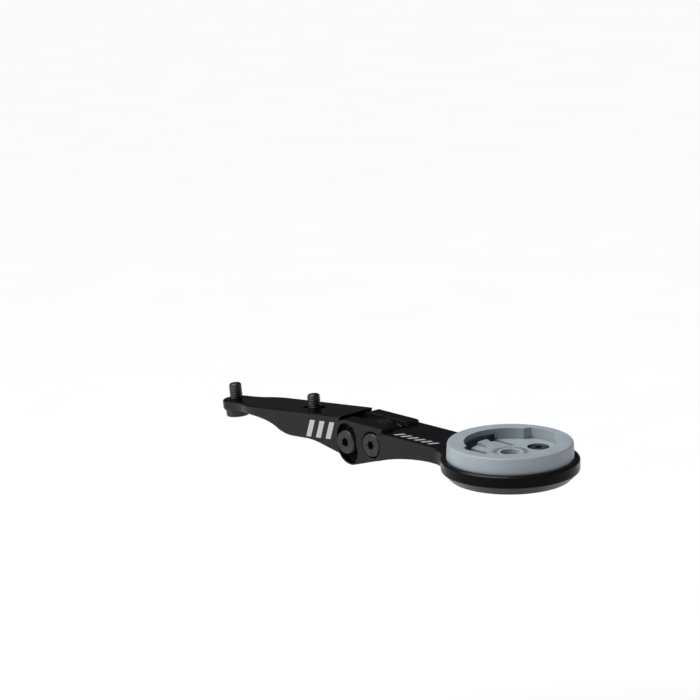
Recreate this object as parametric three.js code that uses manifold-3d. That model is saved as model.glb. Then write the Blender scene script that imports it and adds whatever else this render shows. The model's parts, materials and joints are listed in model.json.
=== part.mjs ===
// Cycling computer mount for a one-piece handlebar.
// Millimetres. +X points forward to the computer seat, +Y to the bike's left, +Z up.
// The flat bolting face of the base bracket lies in z = 0.

import * as THREE from 'three';
import { mergeVertices } from 'three/addons/utils/BufferGeometryUtils.js';
import Module from 'manifold-3d';

const wasm = await Module();
wasm.setup();

// ---------------------------------------------------------------- driving sizes

const BASE_WIDTH = 13.8;
const BASE_FRONT_X = 25.5;
const REAR_LUG_X = -27.0;
const REAR_LUG_RADIUS = 4.3;
const REAR_PAD_THICK = 2.7;
const BASE_MID_DEPTH = 7.9;
const BASE_FRONT_DEPTH = 11.6;
const FRONT_BOLT_X = 8.0;
const FRONT_SLOT_TRAVEL = 2.0;
const FRONT_LAND_Z = -3.4;
const BAR_WASHER_DIA = 8.0;
const BAR_WASHER_THICK = 0.5;

const HINGE_OUT = 14.1;
const PIVOT_DROP = 7.2;
const SCREW_SPACING = 10.65;
const REST_TILT_DEG = 6.0;
const TILT_UP_DEG = 9.0;
const TILT_DOWN_DEG = 12.0;

const TONGUE_THICK = 5.0;
const TONGUE_KEEL = 1.0;
const NOSE_RADIUS = 4.4;
const FRICTION_WASHER_THICK = 0.3;
const EAR_SPAN = 15.6;
const EAR_REACH = 14.9;
const EAR_CORNER_RADIUS = 3.0;
const EAR_TOE_RADIUS = 5.6;
const EAR_TOE_ANGLE = 193.5;
const EAR_SOLE_ANGLE = 18;
const EAR_TOP_V = 5.5;
const STEP_U = 4.2;
const POCKET_DEPTH = 2.35;
const HINGE_POCKET_DEPTH = 1.9;
const POCKET_RIM = 0.4;
const POCKET_OVERRUN_DEG = 3.0;
const SLEEVE_DIA = 5.0;
const SLIDER_THICK = 2.2;
const SLIDER_WIDTH = 6.2;
const SLIDER_HALF_ANGLE = 3;
const PIVOT_NUT_AF = 7.0;
const PIVOT_NUT_THICK = 2.2;
const LOCK_WASHER_THICK = 0.5;

const ARM_WIDTH = 17.0;
const ARM_REACH = 48.25;
const ARM_TOP_V = 4.4;
const CUP_WALL = 1.45;
const CUP_BAND_DEPTH = 3.5;
const CUP_BOTTOM_CHAMFER = 2.5;
const CUP_FLARE_RADIUS = 8.0;

const INSERT_RADIUS = 18.0;
const INSERT_HEIGHT = 6.0;
const INSERT_STANDS_PROUD = 4.7;
const INSERT_DRAFT = 0.25;
const SEAT_LIP_WIDTH = 4.8;
const SEAT_GROOVE_WALL = 3.1;
const SEAT_LIP_THICK = 1.6;
const SEAT_DEPTH = 3.25;
const NOTCH_HALF_ANGLE = 26.5;
const NOTCH_BACK_HALF_ANGLE = 19.5;
const STOP_ANGLE = 27;
const FINGER_TIP_GAP = 1.4;
const FINGER_SLIT = 1.5;
const FINGER_SLIT_FLARE = 0.3;
const WINDOW_INSET = 0.4;
const SLIT_BESIDE_WELL = 0.25;
const BUMP_WIDTH = 3.2;
const BUMP_HEIGHT = 1.25;
const CENTRE_HOLE_DIA = 5.7;
const HOLE_TO_FINGER = 1.25;
const BUMP_SHARE = 0.55;
const FINGER_SHEET = 1.35;
const FINGER_ROOT_GAP = 0.12;

const BOLT_DIA = 4.0;
const BOLT_HEAD_DIA = 7.1;
const BOLT_HEAD_HEIGHT = 2.4;
const BAR_BOLT_HEAD_HEIGHT = 2.2;
const BAR_BOLT_LENGTH = 8.0;
const HEX_KEY = 2.5;
const INSERT_SCREW_DIA = 3.0;
const INSERT_SCREW_HEAD_DIA = 5.6;
const INSERT_SCREW_INSET = 3.7;
const INSERT_SCREW_BEARING = 76;
const INSERT_SCREW_WELL_DIA = 6.4;

const HOLE_CLEARANCE = 0.15;
const HEAD_CLEARANCE = 0.4;
const SIDE_PLAY = 0.05;
const SWING_CLEARANCE = 0.45;
const SEAT_CLEARANCE = 0.15;
const CONTACT_GAP = 0.02;

// ---------------------------------------------------------------- derived sizes

const PIVOT_X = BASE_FRONT_X + HINGE_OUT;
const TOP_TO_PIVOT = -PIVOT_DROP;
const SLOT_WIDTH = TONGUE_THICK + 2 * (FRICTION_WASHER_THICK + SIDE_PLAY);
const SHOULDER_RADIUS = EAR_REACH + SWING_CLEARANCE;
const HOLE_DIA = BOLT_DIA + 2 * HOLE_CLEARANCE;
const POCKET_WIDTH = BOLT_HEAD_DIA + 2 * HEAD_CLEARANCE;
const SLOT_FRONT_U = NOSE_RADIUS + 0.5;
const SLEEVE_LENGTH = SLOT_WIDTH - 2 * CONTACT_GAP;
const RIGHT_Y = -EAR_SPAN / 2;
const LEFT_Y = EAR_SPAN / 2;
const RIGHT_FLOOR_Y = RIGHT_Y + POCKET_DEPTH;
const HINGE_FLOOR_Y = RIGHT_Y + HINGE_POCKET_DEPTH;
const LEFT_FLOOR_Y = LEFT_Y - POCKET_DEPTH;
const RING_TOP_V = ARM_TOP_V + INSERT_STANDS_PROUD;
const CUP_FLOOR_V = RING_TOP_V - INSERT_HEIGHT - CONTACT_GAP;
const CUP_BOTTOM_V = ARM_TOP_V - CUP_BAND_DEPTH - CUP_BOTTOM_CHAMFER;
const CUP_POCKET_RADIUS = INSERT_RADIUS + INSERT_DRAFT + SEAT_CLEARANCE;
const CUP_RADIUS = CUP_POCKET_RADIUS + CUP_WALL;
const SEAT_OPENING_RADIUS = INSERT_RADIUS - SEAT_LIP_WIDTH;
const SEAT_GROOVE_RADIUS = INSERT_RADIUS - SEAT_GROOVE_WALL;
const INSERT_SCREW_RING = SEAT_OPENING_RADIUS - INSERT_SCREW_INSET;

const deg = (a) => (a * Math.PI) / 180;

// the sprung finger fills the room between the two screw wells
const WELL_Y = INSERT_SCREW_RING * Math.sin(deg(INSERT_SCREW_BEARING));
const FINGER_HALF = WELL_Y - INSERT_SCREW_WELL_DIA / 2 + SLIT_BESIDE_WELL - FINGER_SLIT;
const FINGER_TIP = SEAT_OPENING_RADIUS - FINGER_TIP_GAP;
const FINGER_ROOT = CENTRE_HOLE_DIA / 2 + HOLE_TO_FINGER;
const BUMP_LENGTH = BUMP_SHARE * (FINGER_TIP - FINGER_ROOT);

// ---------------------------------------------------------------- materials

function metal(color, roughness) {
  return new THREE.MeshStandardMaterial({ color, roughness, metalness: 0.85 });
}

const anodised = metal(0x17181a, 0.42);
const blackSteel = metal(0x232427, 0.5);
const plainSteel = metal(0x8d9094, 0.35);
const greyPlastic = new THREE.MeshStandardMaterial({ color: 0x8f979c, roughness: 0.55, metalness: 0 });
const nylon = new THREE.MeshStandardMaterial({ color: 0x2c2d2f, roughness: 0.6, metalness: 0 });

// ---------------------------------------------------------------- solid helpers

function solid(geometry) {
  const bare = geometry.clone();
  bare.deleteAttribute('normal');
  bare.deleteAttribute('uv');
  const merged = mergeVertices(bare, 1e-5);
  const mesh = new wasm.Mesh({
    numProp: 3,
    vertProperties: new Float32Array(merged.attributes.position.array),
    triVerts: new Uint32Array(merged.index.array),
  });
  return new wasm.Manifold(mesh);
}

function toGeometry(body) {
  const out = body.getMesh();
  const geometry = new THREE.BufferGeometry();
  geometry.setAttribute('position', new THREE.BufferAttribute(new Float32Array(out.vertProperties), 3));
  geometry.setIndex(new THREE.BufferAttribute(new Uint32Array(out.triVerts), 1));
  geometry.computeVertexNormals();
  return geometry;
}

function named(name, body, material) {
  const mesh = new THREE.Mesh(toGeometry(body), material);
  mesh.name = name;
  return mesh;
}

// upright round bar from z0 to z1
function post(radius, z0, z1, x = 0, y = 0, sides = 40) {
  const g = new THREE.CylinderGeometry(radius, radius, z1 - z0, sides);
  g.rotateX(Math.PI / 2);
  g.translate(x, y, (z0 + z1) / 2);
  return solid(g);
}

// round bar along Y from y0 to y1
function crossPin(radius, y0, y1, x = 0, z = 0, sides = 40) {
  const g = new THREE.CylinderGeometry(radius, radius, y1 - y0, sides);
  g.translate(x, (y0 + y1) / 2, z);
  return solid(g);
}

// revolved about the upright axis; points are [radius, z], first and last on the axis
function turned(points, sides) {
  const g = new THREE.LatheGeometry(points.map(([r, z]) => new THREE.Vector2(r, z)), sides);
  g.rotateX(Math.PI / 2);
  const body = solid(g);
  return body.volume() < 0 ? solid(flipped(g)) : body;
}

function flipped(geometry) {
  const g = geometry.clone();
  const index = g.index.array;
  for (let i = 0; i < index.length; i += 3) {
    const keep = index[i];
    index[i] = index[i + 1];
    index[i + 1] = keep;
  }
  return g;
}

function block(x0, x1, y0, y1, z0, z1) {
  const g = new THREE.BoxGeometry(x1 - x0, y1 - y0, z1 - z0);
  g.translate((x0 + x1) / 2, (y0 + y1) / 2, (z0 + z1) / 2);
  return solid(g);
}

// side outline in x and z, given thickness from y0 to y1
function sidePlate(shape, y0, y1, curveSegments = 12) {
  const g = new THREE.ExtrudeGeometry(shape, { depth: y1 - y0, bevelEnabled: false, curveSegments });
  g.rotateX(Math.PI / 2);
  g.translate(0, y1, 0);
  return solid(g);
}

// plan outline in x and y, from z0 to z1 with the top edge chamfered
function planPlate(shape, z0, z1, chamfer = 0, curveSegments = 12) {
  const options = { depth: z1 - z0, bevelEnabled: false, curveSegments };
  if (chamfer > 0) {
    options.bevelEnabled = true;
    options.bevelSegments = 1;
    options.bevelThickness = chamfer;
    options.bevelSize = chamfer;
    options.bevelOffset = -chamfer;
    options.depth = z1 - z0 - 2 * chamfer;
  }
  const g = new THREE.ExtrudeGeometry(shape, options);
  g.translate(0, 0, z0 + chamfer);
  return solid(g);
}

// ring sector about the Y axis line through x = 0, z = 0
function arcBlock(rIn, rOut, a0, a1, y0, y1, steps = 14) {
  const shape = new THREE.Shape();
  shape.absarc(0, 0, rOut, deg(a0), deg(a1), false);
  shape.absarc(0, 0, rIn, deg(a1), deg(a0), true);
  shape.closePath();
  return sidePlate(shape, y0, y1, steps);
}

// round-ended slot following an arc about the pivot
function arcSlot(radius, width, a0, a1, y0, y1) {
  const half = width / 2;
  const ends = [a0, a1].map((a) =>
    crossPin(half, y0, y1, radius * Math.cos(deg(a)), radius * Math.sin(deg(a)), 28));
  return arcBlock(radius - half, radius + half, a0, a1, y0, y1).add(ends[0]).add(ends[1]);
}

// head, shank and hex socket along Y; the head's outer face is at y = 0, the shank runs to +y
function socketScrew({ dia, headDia, headHeight, length, key, socketDepth, sides = 36 }) {
  const head = headDia / 2;
  const edge = 0.35;
  const tip = 0.4;
  const points = [
    [0, 0],
    [head - edge, 0],
    [head, edge],
    [head, headHeight],
    [dia / 2, headHeight],
    [dia / 2, length - tip],
    [dia / 2 - tip, length],
    [0, length],
  ];
  const body = turned(points, sides);
  const socket = post(key / Math.sqrt(3), -1, socketDepth, 0, 0, 6);
  return body.subtract(socket).rotate([-90, 0, 0]);
}

function ring(rIn, rOut, y0, y1, sides = 36) {
  return crossPin(rOut, y0, y1, 0, 0, sides).subtract(crossPin(rIn, y0 - 1, y1 + 1, 0, 0, sides));
}

// ---------------------------------------------------------------- base bracket

function baseSideShape() {
  const s = new THREE.Shape();
  s.moveTo(REAR_LUG_X - 6, 0);
  s.lineTo(REAR_LUG_X - 6, -REAR_PAD_THICK);
  s.lineTo(-14.5, -REAR_PAD_THICK);
  s.quadraticCurveTo(-6.5, -3.6, -3.0, -5.5);
  s.quadraticCurveTo(0.2, -7.5, 3.5, -BASE_MID_DEPTH + 0.15);
  s.quadraticCurveTo(7.5, -BASE_MID_DEPTH, 11.5, -BASE_MID_DEPTH - 0.15);
  s.quadraticCurveTo(13.6, -8.3, 15.5, -8.8);
  s.lineTo(BASE_FRONT_X - 0.5, -BASE_FRONT_DEPTH);
  s.lineTo(BASE_FRONT_X + 4, -BASE_FRONT_DEPTH - 1.2);
  s.lineTo(BASE_FRONT_X + 4, 0);
  s.closePath();
  return s;
}

function basePlanShape() {
  const half = BASE_WIDTH / 2;
  const s = new THREE.Shape();
  s.moveTo(BASE_FRONT_X + 5, -half);
  s.lineTo(BASE_FRONT_X + 5, half);
  s.lineTo(-10, half);
  s.quadraticCurveTo(-15, half, -19, REAR_LUG_RADIUS + 0.75);
  s.quadraticCurveTo(-22, REAR_LUG_RADIUS, REAR_LUG_X + 2, REAR_LUG_RADIUS);
  s.lineTo(REAR_LUG_X, REAR_LUG_RADIUS);
  s.absarc(REAR_LUG_X, 0, REAR_LUG_RADIUS, deg(90), deg(270), false);
  s.lineTo(REAR_LUG_X + 2, -REAR_LUG_RADIUS);
  s.quadraticCurveTo(-22, -REAR_LUG_RADIUS, -19, -REAR_LUG_RADIUS - 0.75);
  s.quadraticCurveTo(-15, -half, -10, -half);
  s.closePath();
  return s;
}

// tongue between the ears, with a sloped shoulder running down to a round nose
function tongueShape() {
  const top = -1.5;
  const cornerX = PIVOT_X - 2.6;
  const d = Math.hypot(cornerX - PIVOT_X, top - TOP_TO_PIVOT);
  const bearing = Math.atan2(top - TOP_TO_PIVOT, cornerX - PIVOT_X);
  const upper = bearing - Math.acos(NOSE_RADIUS / d);
  const s = new THREE.Shape();
  s.moveTo(BASE_FRONT_X - 6, top);
  s.lineTo(BASE_FRONT_X - 6, -BASE_FRONT_DEPTH + 1.8);
  s.lineTo(BASE_FRONT_X + 1, -BASE_FRONT_DEPTH - TONGUE_KEEL);
  s.lineTo(BASE_FRONT_X + 6, -BASE_FRONT_DEPTH - TONGUE_KEEL);
  s.absarc(PIVOT_X, TOP_TO_PIVOT, NOSE_RADIUS, deg(-97), upper, false);
  s.lineTo(cornerX, top);
  s.closePath();
  return s;
}

function slotHole(width, x0, x1, z0, z1) {
  const r = width / 2;
  const ends = post(r, z0, z1, x0, 0, 28).add(post(r, z0, z1, x1, 0, 28));
  return x1 > x0 ? ends.add(block(x0, x1, -r, r, z0, z1)) : ends;
}

function baseBracket() {
  const plan = planPlate(basePlanShape(), -16, 0);
  const swing = crossPin(SHOULDER_RADIUS, -20, 20, PIVOT_X, TOP_TO_PIVOT, 96);
  let body = sidePlate(baseSideShape(), -20, 20).intersect(plan).subtract(swing);
  body = body.add(sidePlate(tongueShape(), -TONGUE_THICK / 2, TONGUE_THICK / 2, 16));
  for (const x of [PIVOT_X - SCREW_SPACING, PIVOT_X]) {
    const dia = x === PIVOT_X ? SLEEVE_DIA + 2 * HOLE_CLEARANCE : HOLE_DIA;
    body = body.subtract(crossPin(dia / 2, -10, 10, x, TOP_TO_PIVOT));
  }
  body = body.subtract(post(HOLE_DIA / 2, -20, 5, REAR_LUG_X, 0, 28));
  const x0 = FRONT_BOLT_X - FRONT_SLOT_TRAVEL;
  const x1 = FRONT_BOLT_X + FRONT_SLOT_TRAVEL;
  body = body.subtract(slotHole(HOLE_DIA, x0, x1, -20, 5));
  body = body.subtract(slotHole(BAR_WASHER_DIA + 0.4, x0, x1, -20, FRONT_LAND_Z));
  return named('base_bracket', body, anodised);
}

// ---------------------------------------------------------------- bar bolts

function barBolt(name, x, landZ) {
  const seat = landZ - BAR_WASHER_THICK - CONTACT_GAP;
  const screw = socketScrew({
    dia: BOLT_DIA,
    headDia: BOLT_HEAD_DIA,
    headHeight: BAR_BOLT_HEAD_HEIGHT,
    length: BAR_BOLT_HEAD_HEIGHT + BAR_BOLT_LENGTH,
    key: HEX_KEY,
    socketDepth: 1.4,
  });
  const upright = screw.rotate([90, 0, 0]).translate([x, 0, seat - BAR_BOLT_HEAD_HEIGHT]);
  return named(name, upright, blackSteel);
}

function barWasher(name, x, landZ) {
  const flat = ring(BOLT_DIA / 2 + 0.1, BAR_WASHER_DIA / 2, 0, BAR_WASHER_THICK);
  const upright = flat.rotate([90, 0, 0]).translate([x, 0, landZ - BAR_WASHER_THICK - CONTACT_GAP / 2]);
  return named(name, upright, blackSteel);
}

// ---------------------------------------------------------------- hinge hardware

function frictionWasher(name, side) {
  const rIn = SLEEVE_DIA / 2 + 0.1;
  const inner = side * (TONGUE_THICK / 2 + SIDE_PLAY / 2);
  const outer = inner + side * FRICTION_WASHER_THICK;
  const body = ring(rIn, NOSE_RADIUS - 0.1, Math.min(inner, outer), Math.max(inner, outer));
  return named(name, body, nylon);
}

function pivotSleeve() {
  const half = SLEEVE_LENGTH / 2;
  return named('pivot_sleeve', ring(BOLT_DIA / 2 + 0.05, SLEEVE_DIA / 2, -half, half), plainSteel);
}

function pivotScrew() {
  const y0 = HINGE_FLOOR_Y - CONTACT_GAP - BOLT_HEAD_HEIGHT;
  const length = LEFT_FLOOR_Y + PIVOT_NUT_THICK - y0;
  const body = socketScrew({
    dia: BOLT_DIA,
    headDia: BOLT_HEAD_DIA,
    headHeight: BOLT_HEAD_HEIGHT,
    length,
    key: HEX_KEY,
    socketDepth: 1.5,
  });
  return named('pivot_screw', body.translate([0, y0, 0]), blackSteel);
}

function pivotNut() {
  const y0 = LEFT_FLOOR_Y + CONTACT_GAP;
  const y1 = y0 + PIVOT_NUT_THICK;
  const hex = crossPin(PIVOT_NUT_AF / Math.sqrt(3), y0, y1, 0, 0, 6);
  return named('pivot_nut', hex.subtract(crossPin(BOLT_DIA / 2 + 0.03, y0 - 1, y1 + 1)), blackSteel);
}

function lockScrew() {
  const y0 = RIGHT_FLOOR_Y - CONTACT_GAP - LOCK_WASHER_THICK - BOLT_HEAD_HEIGHT;
  const length = LEFT_FLOOR_Y + SLIDER_THICK - 0.3 - y0;
  const body = socketScrew({
    dia: BOLT_DIA,
    headDia: BOLT_HEAD_DIA,
    headHeight: BOLT_HEAD_HEIGHT,
    length,
    key: HEX_KEY,
    socketDepth: 1.5,
  });
  const placed = body.translate([PIVOT_X - SCREW_SPACING, y0, TOP_TO_PIVOT]);
  return named('lock_screw', placed, blackSteel);
}

function lockWasher() {
  const y1 = RIGHT_FLOOR_Y - CONTACT_GAP / 2;
  const flat = ring(BOLT_DIA / 2 + 0.1, BOLT_HEAD_DIA / 2 - 0.05, y1 - LOCK_WASHER_THICK, y1);
  return named('lock_washer', flat.translate([PIVOT_X - SCREW_SPACING, 0, TOP_TO_PIVOT]), blackSteel);
}

// round-ended slider that rides in the left ear's arc pocket
function lockSliderNut() {
  const y0 = LEFT_FLOOR_Y + CONTACT_GAP;
  const y1 = y0 + SLIDER_THICK;
  const a = SLIDER_HALF_ANGLE;
  const block = arcSlot(SCREW_SPACING, SLIDER_WIDTH, 180 - a, 180 + a, y0, y1);
  const hole = crossPin(BOLT_DIA / 2 + 0.03, y0 - 1, y1 + 1, -SCREW_SPACING, 0);
  return named('lock_slider_nut', block.subtract(hole).translate([PIVOT_X, 0, TOP_TO_PIVOT]), blackSteel);
}

// ---------------------------------------------------------------- arm

// rear end of an ear: a small top corner, the hinge's own arc, then a round toe
function traceEarEnd(s, inset) {
  const corner = EAR_CORNER_RADIUS;
  const cornerV = EAR_TOP_V - corner;
  const cornerU = -Math.sqrt((EAR_REACH - corner) ** 2 - cornerV ** 2);
  const cornerEnd = Math.atan2(cornerV, cornerU);
  const toe = EAR_REACH - EAR_TOE_RADIUS;
  const start = deg(EAR_TOE_ANGLE);
  const sole = deg(270 + EAR_SOLE_ANGLE);
  s.absarc(cornerU, cornerV, corner - inset, deg(90), cornerEnd, false);
  s.absarc(0, 0, EAR_REACH - inset, cornerEnd, start, false);
  s.absarc(toe * Math.cos(start), toe * Math.sin(start), EAR_TOE_RADIUS - inset, start, sole, false);
}

function armSideShape() {
  const s = new THREE.Shape();
  s.moveTo(ARM_REACH, EAR_TOP_V + 1);
  s.lineTo(-EAR_REACH + EAR_CORNER_RADIUS + 1, EAR_TOP_V + 1);
  s.lineTo(-EAR_REACH + EAR_CORNER_RADIUS + 1, EAR_TOP_V);
  traceEarEnd(s, 0);
  s.lineTo(-1.0, -5.45);
  s.lineTo(6.3, -3.15);
  s.quadraticCurveTo(14.5, -0.75, 24, -0.25);
  s.lineTo(ARM_REACH, -0.25);
  s.closePath();
  return s;
}

// what a pocket may use of an ear, leaving a thin rim round its end
function rimLimit(y0, y1) {
  const s = new THREE.Shape();
  s.moveTo(0, -4.5);
  s.lineTo(0, EAR_TOP_V - POCKET_RIM);
  traceEarEnd(s, POCKET_RIM);
  s.closePath();
  return sidePlate(s, y0, y1, 24);
}

function armPlanShape() {
  const half = ARM_WIDTH / 2;
  const r = CUP_FLARE_RADIUS;
  const offset = Math.sqrt((CUP_RADIUS + r) ** 2 - (half + r) ** 2);
  const u = ARM_REACH - offset;
  const turn = Math.acos((half + r) / (CUP_RADIUS + r));
  const s = new THREE.Shape();
  s.moveTo(STEP_U - 1.5, half);
  s.lineTo(STEP_U - 1.5, -half);
  s.lineTo(u, -half);
  s.absarc(u, -half - r, r, deg(90), deg(90) - turn, true);
  s.lineTo(ARM_REACH, -CUP_RADIUS + 4);
  s.lineTo(ARM_REACH, CUP_RADIUS - 4);
  s.absarc(u, half + r, r, turn - deg(90), deg(-90), true);
  s.closePath();
  return s;
}

function cupBlank() {
  const r = CUP_RADIUS;
  const c = 0.5;
  const bandBottom = ARM_TOP_V - CUP_BAND_DEPTH;
  const points = [
    [0, CUP_BOTTOM_V],
    [r - CUP_BOTTOM_CHAMFER, CUP_BOTTOM_V],
    [r, bandBottom],
    [r, ARM_TOP_V - c],
    [r - c, ARM_TOP_V],
    [0, ARM_TOP_V],
  ];
  return turned(points, 96).translate([ARM_REACH, 0, 0]);
}

function earBlank() {
  const half = EAR_SPAN / 2;
  const s = new THREE.Shape();
  s.moveTo(-EAR_REACH - 3, -half);
  s.lineTo(STEP_U, -half);
  s.lineTo(STEP_U, half);
  s.lineTo(-EAR_REACH - 3, half);
  s.closePath();
  return planPlate(s, -14, EAR_TOP_V, 0.45);
}

// lock pocket angles, measured at the pivot from +u; the screw rests at 180 less the rest tilt
const LOCK_REST_ANGLE = 180 + REST_TILT_DEG;
const LOCK_SLOT_FROM = LOCK_REST_ANGLE - TILT_UP_DEG - 0.6;
const LOCK_SLOT_TO = LOCK_REST_ANGLE + TILT_DOWN_DEG + 0.6;

function lockCuts() {
  const a0 = LOCK_SLOT_FROM;
  const a1 = LOCK_SLOT_TO;
  const through = arcSlot(SCREW_SPACING, HOLE_DIA, a0, a1, -10, 10);
  const pocketEnd = a1 + POCKET_OVERRUN_DEG;
  const right = arcSlot(SCREW_SPACING, POCKET_WIDTH, a0, pocketEnd, RIGHT_Y - 1, RIGHT_FLOOR_Y)
    .intersect(rimLimit(RIGHT_Y - 2, RIGHT_FLOOR_Y + 1));
  const spread = SLIDER_HALF_ANGLE;
  const width = SLIDER_WIDTH + 2 * HEAD_CLEARANCE;
  const left = arcSlot(SCREW_SPACING, width, a0 - spread, a1 + spread, LEFT_FLOOR_Y, LEFT_Y + 1)
    .intersect(rimLimit(LEFT_FLOOR_Y - 1, LEFT_Y + 2));
  return through.add(right).add(left);
}

function pivotCuts() {
  const counterbore = crossPin(BOLT_HEAD_DIA / 2 + 0.5, RIGHT_Y - 1, HINGE_FLOOR_Y);
  const nutPocket = crossPin((PIVOT_NUT_AF + 0.1) / Math.sqrt(3), LEFT_FLOOR_Y, LEFT_Y + 1, 0, 0, 6);
  return crossPin(HOLE_DIA / 2, -10, 10).add(counterbore).add(nutPocket);
}

function insertScrewSpots() {
  return [INSERT_SCREW_BEARING, INSERT_SCREW_BEARING + 180].map((a) => [
    INSERT_SCREW_RING * Math.cos(deg(a)),
    INSERT_SCREW_RING * Math.sin(deg(a)),
  ]);
}

function arm() {
  const bar = planPlate(armPlanShape(), -14, ARM_TOP_V, 0.5, 20);
  let body = bar.add(earBlank()).intersect(sidePlate(armSideShape(), -30, 30, 24));
  body = body.add(cupBlank());
  body = body.subtract(post(CUP_POCKET_RADIUS, CUP_FLOOR_V, 20, ARM_REACH, 0, 96));
  for (const [dx, dy] of insertScrewSpots()) {
    const r = INSERT_SCREW_DIA / 2 + 0.05;
    body = body.subtract(post(r, -10, 10, ARM_REACH + dx, dy, 24));
  }
  body = body.subtract(block(-30, SLOT_FRONT_U, -SLOT_WIDTH / 2, SLOT_WIDTH / 2, -20, 20));
  body = body.subtract(lockCuts()).subtract(pivotCuts());
  return named('arm', body, anodised);
}

// ---------------------------------------------------------------- insert

function sector(radius, a0, a1, z0, z1) {
  const s = new THREE.Shape();
  s.moveTo(0, 0);
  s.absarc(0, 0, radius, deg(a0), deg(a1), false);
  s.closePath();
  return planPlate(s, z0, z1, 0, 28);
}

// entry notch for one of the computer's tabs, narrower at its back
function notch(side, z0, z1) {
  const at = (r, angle) => [r * Math.cos(deg(angle)), r * Math.sin(deg(angle))];
  const s = new THREE.Shape();
  s.moveTo(0, 0);
  s.lineTo(...at(SEAT_OPENING_RADIUS, side - NOTCH_HALF_ANGLE));
  const back = NOTCH_BACK_HALF_ANGLE;
  s.absarc(0, 0, SEAT_GROOVE_RADIUS, deg(side - back), deg(side + back), false);
  s.lineTo(...at(SEAT_OPENING_RADIUS, side + NOTCH_HALF_ANGLE));
  s.closePath();
  return planPlate(s, z0, z1, 0, 14);
}

function seatCuts() {
  const overTop = 1;
  let cut = post(SEAT_OPENING_RADIUS, -SEAT_DEPTH, overTop, 0, 0, 72);
  for (const side of [90, 270]) {
    cut = cut.add(notch(side, -SEAT_DEPTH, overTop));
    const from = side - 90 - STOP_ANGLE;
    const to = side - NOTCH_BACK_HALF_ANGLE;
    cut = cut.add(sector(SEAT_GROOVE_RADIUS, from, to, -SEAT_DEPTH, -SEAT_LIP_THICK));
  }
  return cut;
}

// opening in the seat's floor that frees the finger, wider towards its tip
function fingerWindow() {
  const root = FINGER_HALF + FINGER_SLIT;
  const tip = root + FINGER_SLIT_FLARE;
  const s = new THREE.Shape();
  s.moveTo(-FINGER_ROOT, -root);
  s.lineTo(-FINGER_ROOT, root);
  s.lineTo(-FINGER_TIP, tip);
  s.lineTo(-INSERT_RADIUS, tip);
  s.lineTo(-INSERT_RADIUS, -tip);
  s.lineTo(-FINGER_TIP, -tip);
  s.closePath();
  const reach = SEAT_GROOVE_RADIUS - WINDOW_INSET;
  return planPlate(s, -20, -SEAT_DEPTH + 0.5).intersect(post(reach, -21, 1, 0, 0, 72));
}

function insertBlank() {
  const r = INSERT_RADIUS;
  const points = [
    [0, -INSERT_HEIGHT],
    [r + 0.1, -INSERT_HEIGHT],
    [r + INSERT_DRAFT, -INSERT_HEIGHT + 0.4],
    [r + 0.15, -3],
    [r, -0.7],
    [r - 0.2, -0.22],
    [r - 0.65, 0],
    [0, 0],
  ];
  return turned(points, 96);
}

function insert() {
  let body = insertBlank().subtract(seatCuts());
  body = body.subtract(fingerWindow());
  body = body.subtract(post(CENTRE_HOLE_DIA / 2, -SEAT_DEPTH - 1.5, 5, 0, 0, 32));
  for (const [dx, dy] of insertScrewSpots()) {
    body = body.subtract(post(INSERT_SCREW_DIA / 2 + 0.1, -20, 5, dx, dy, 24));
    body = body.subtract(post(INSERT_SCREW_WELL_DIA / 2, -SEAT_DEPTH - 1.25, 0, dx, dy, 32)
      .intersect(post(SEAT_OPENING_RADIUS, -20, 20, 0, 0, 72)));
  }
  return named('insert', body, greyPlastic);
}

function insertScrew(name, [dx, dy]) {
  const seat = -SEAT_DEPTH - 1.25 + CONTACT_GAP;
  const headHeight = 1.15;
  const bottom = CUP_BOTTOM_V - RING_TOP_V + 0.6;
  const screw = socketScrew({
    dia: INSERT_SCREW_DIA,
    headDia: INSERT_SCREW_HEAD_DIA,
    headHeight,
    length: seat + headHeight - bottom,
    key: 2.0,
    socketDepth: 0.8,
    sides: 28,
  });
  return named(name, screw.rotate([-90, 0, 0]).translate([dx, dy, seat + headHeight]), blackSteel);
}

// sprung finger in the seat's floor with a raised bump that clicks into the computer
function detentTongue() {
  const z1 = -SEAT_DEPTH;
  const z0 = z1 - FINGER_SHEET;
  const leaf = block(-FINGER_TIP, -FINGER_ROOT - FINGER_ROOT_GAP, -FINGER_HALF, FINGER_HALF, z0, z1);
  const rounded = leaf.intersect(post(FINGER_TIP, z0 - 1, z1 + 1, 0, 0, 96));
  const u0 = -FINGER_TIP + 0.45;
  const s = new THREE.Shape();
  s.moveTo(u0, z1 - 0.4);
  s.lineTo(u0 + BUMP_LENGTH, z1 - 0.4);
  s.lineTo(u0 + BUMP_LENGTH, z1);
  s.lineTo(u0 + 1.5, z1 + BUMP_HEIGHT - 0.1);
  s.quadraticCurveTo(u0 + 1.1, z1 + BUMP_HEIGHT, u0 + 0.6, z1 + BUMP_HEIGHT);
  s.quadraticCurveTo(u0 + 0.2, z1 + BUMP_HEIGHT, u0, z1 + BUMP_HEIGHT - 0.5);
  s.closePath();
  const bump = sidePlate(s, -BUMP_WIDTH / 2, BUMP_WIDTH / 2, 5);
  return named('detent_tongue', rounded.add(bump), greyPlastic);
}

// ---------------------------------------------------------------- assembly

function seatGroup() {
  const seat = new THREE.Group();
  seat.position.set(ARM_REACH, 0, RING_TOP_V);
  const [left, right] = insertScrewSpots();
  seat.add(insert());
  seat.add(detentTongue());
  seat.add(insertScrew('insert_screw_left', left));
  seat.add(insertScrew('insert_screw_right', right));
  return seat;
}

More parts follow.
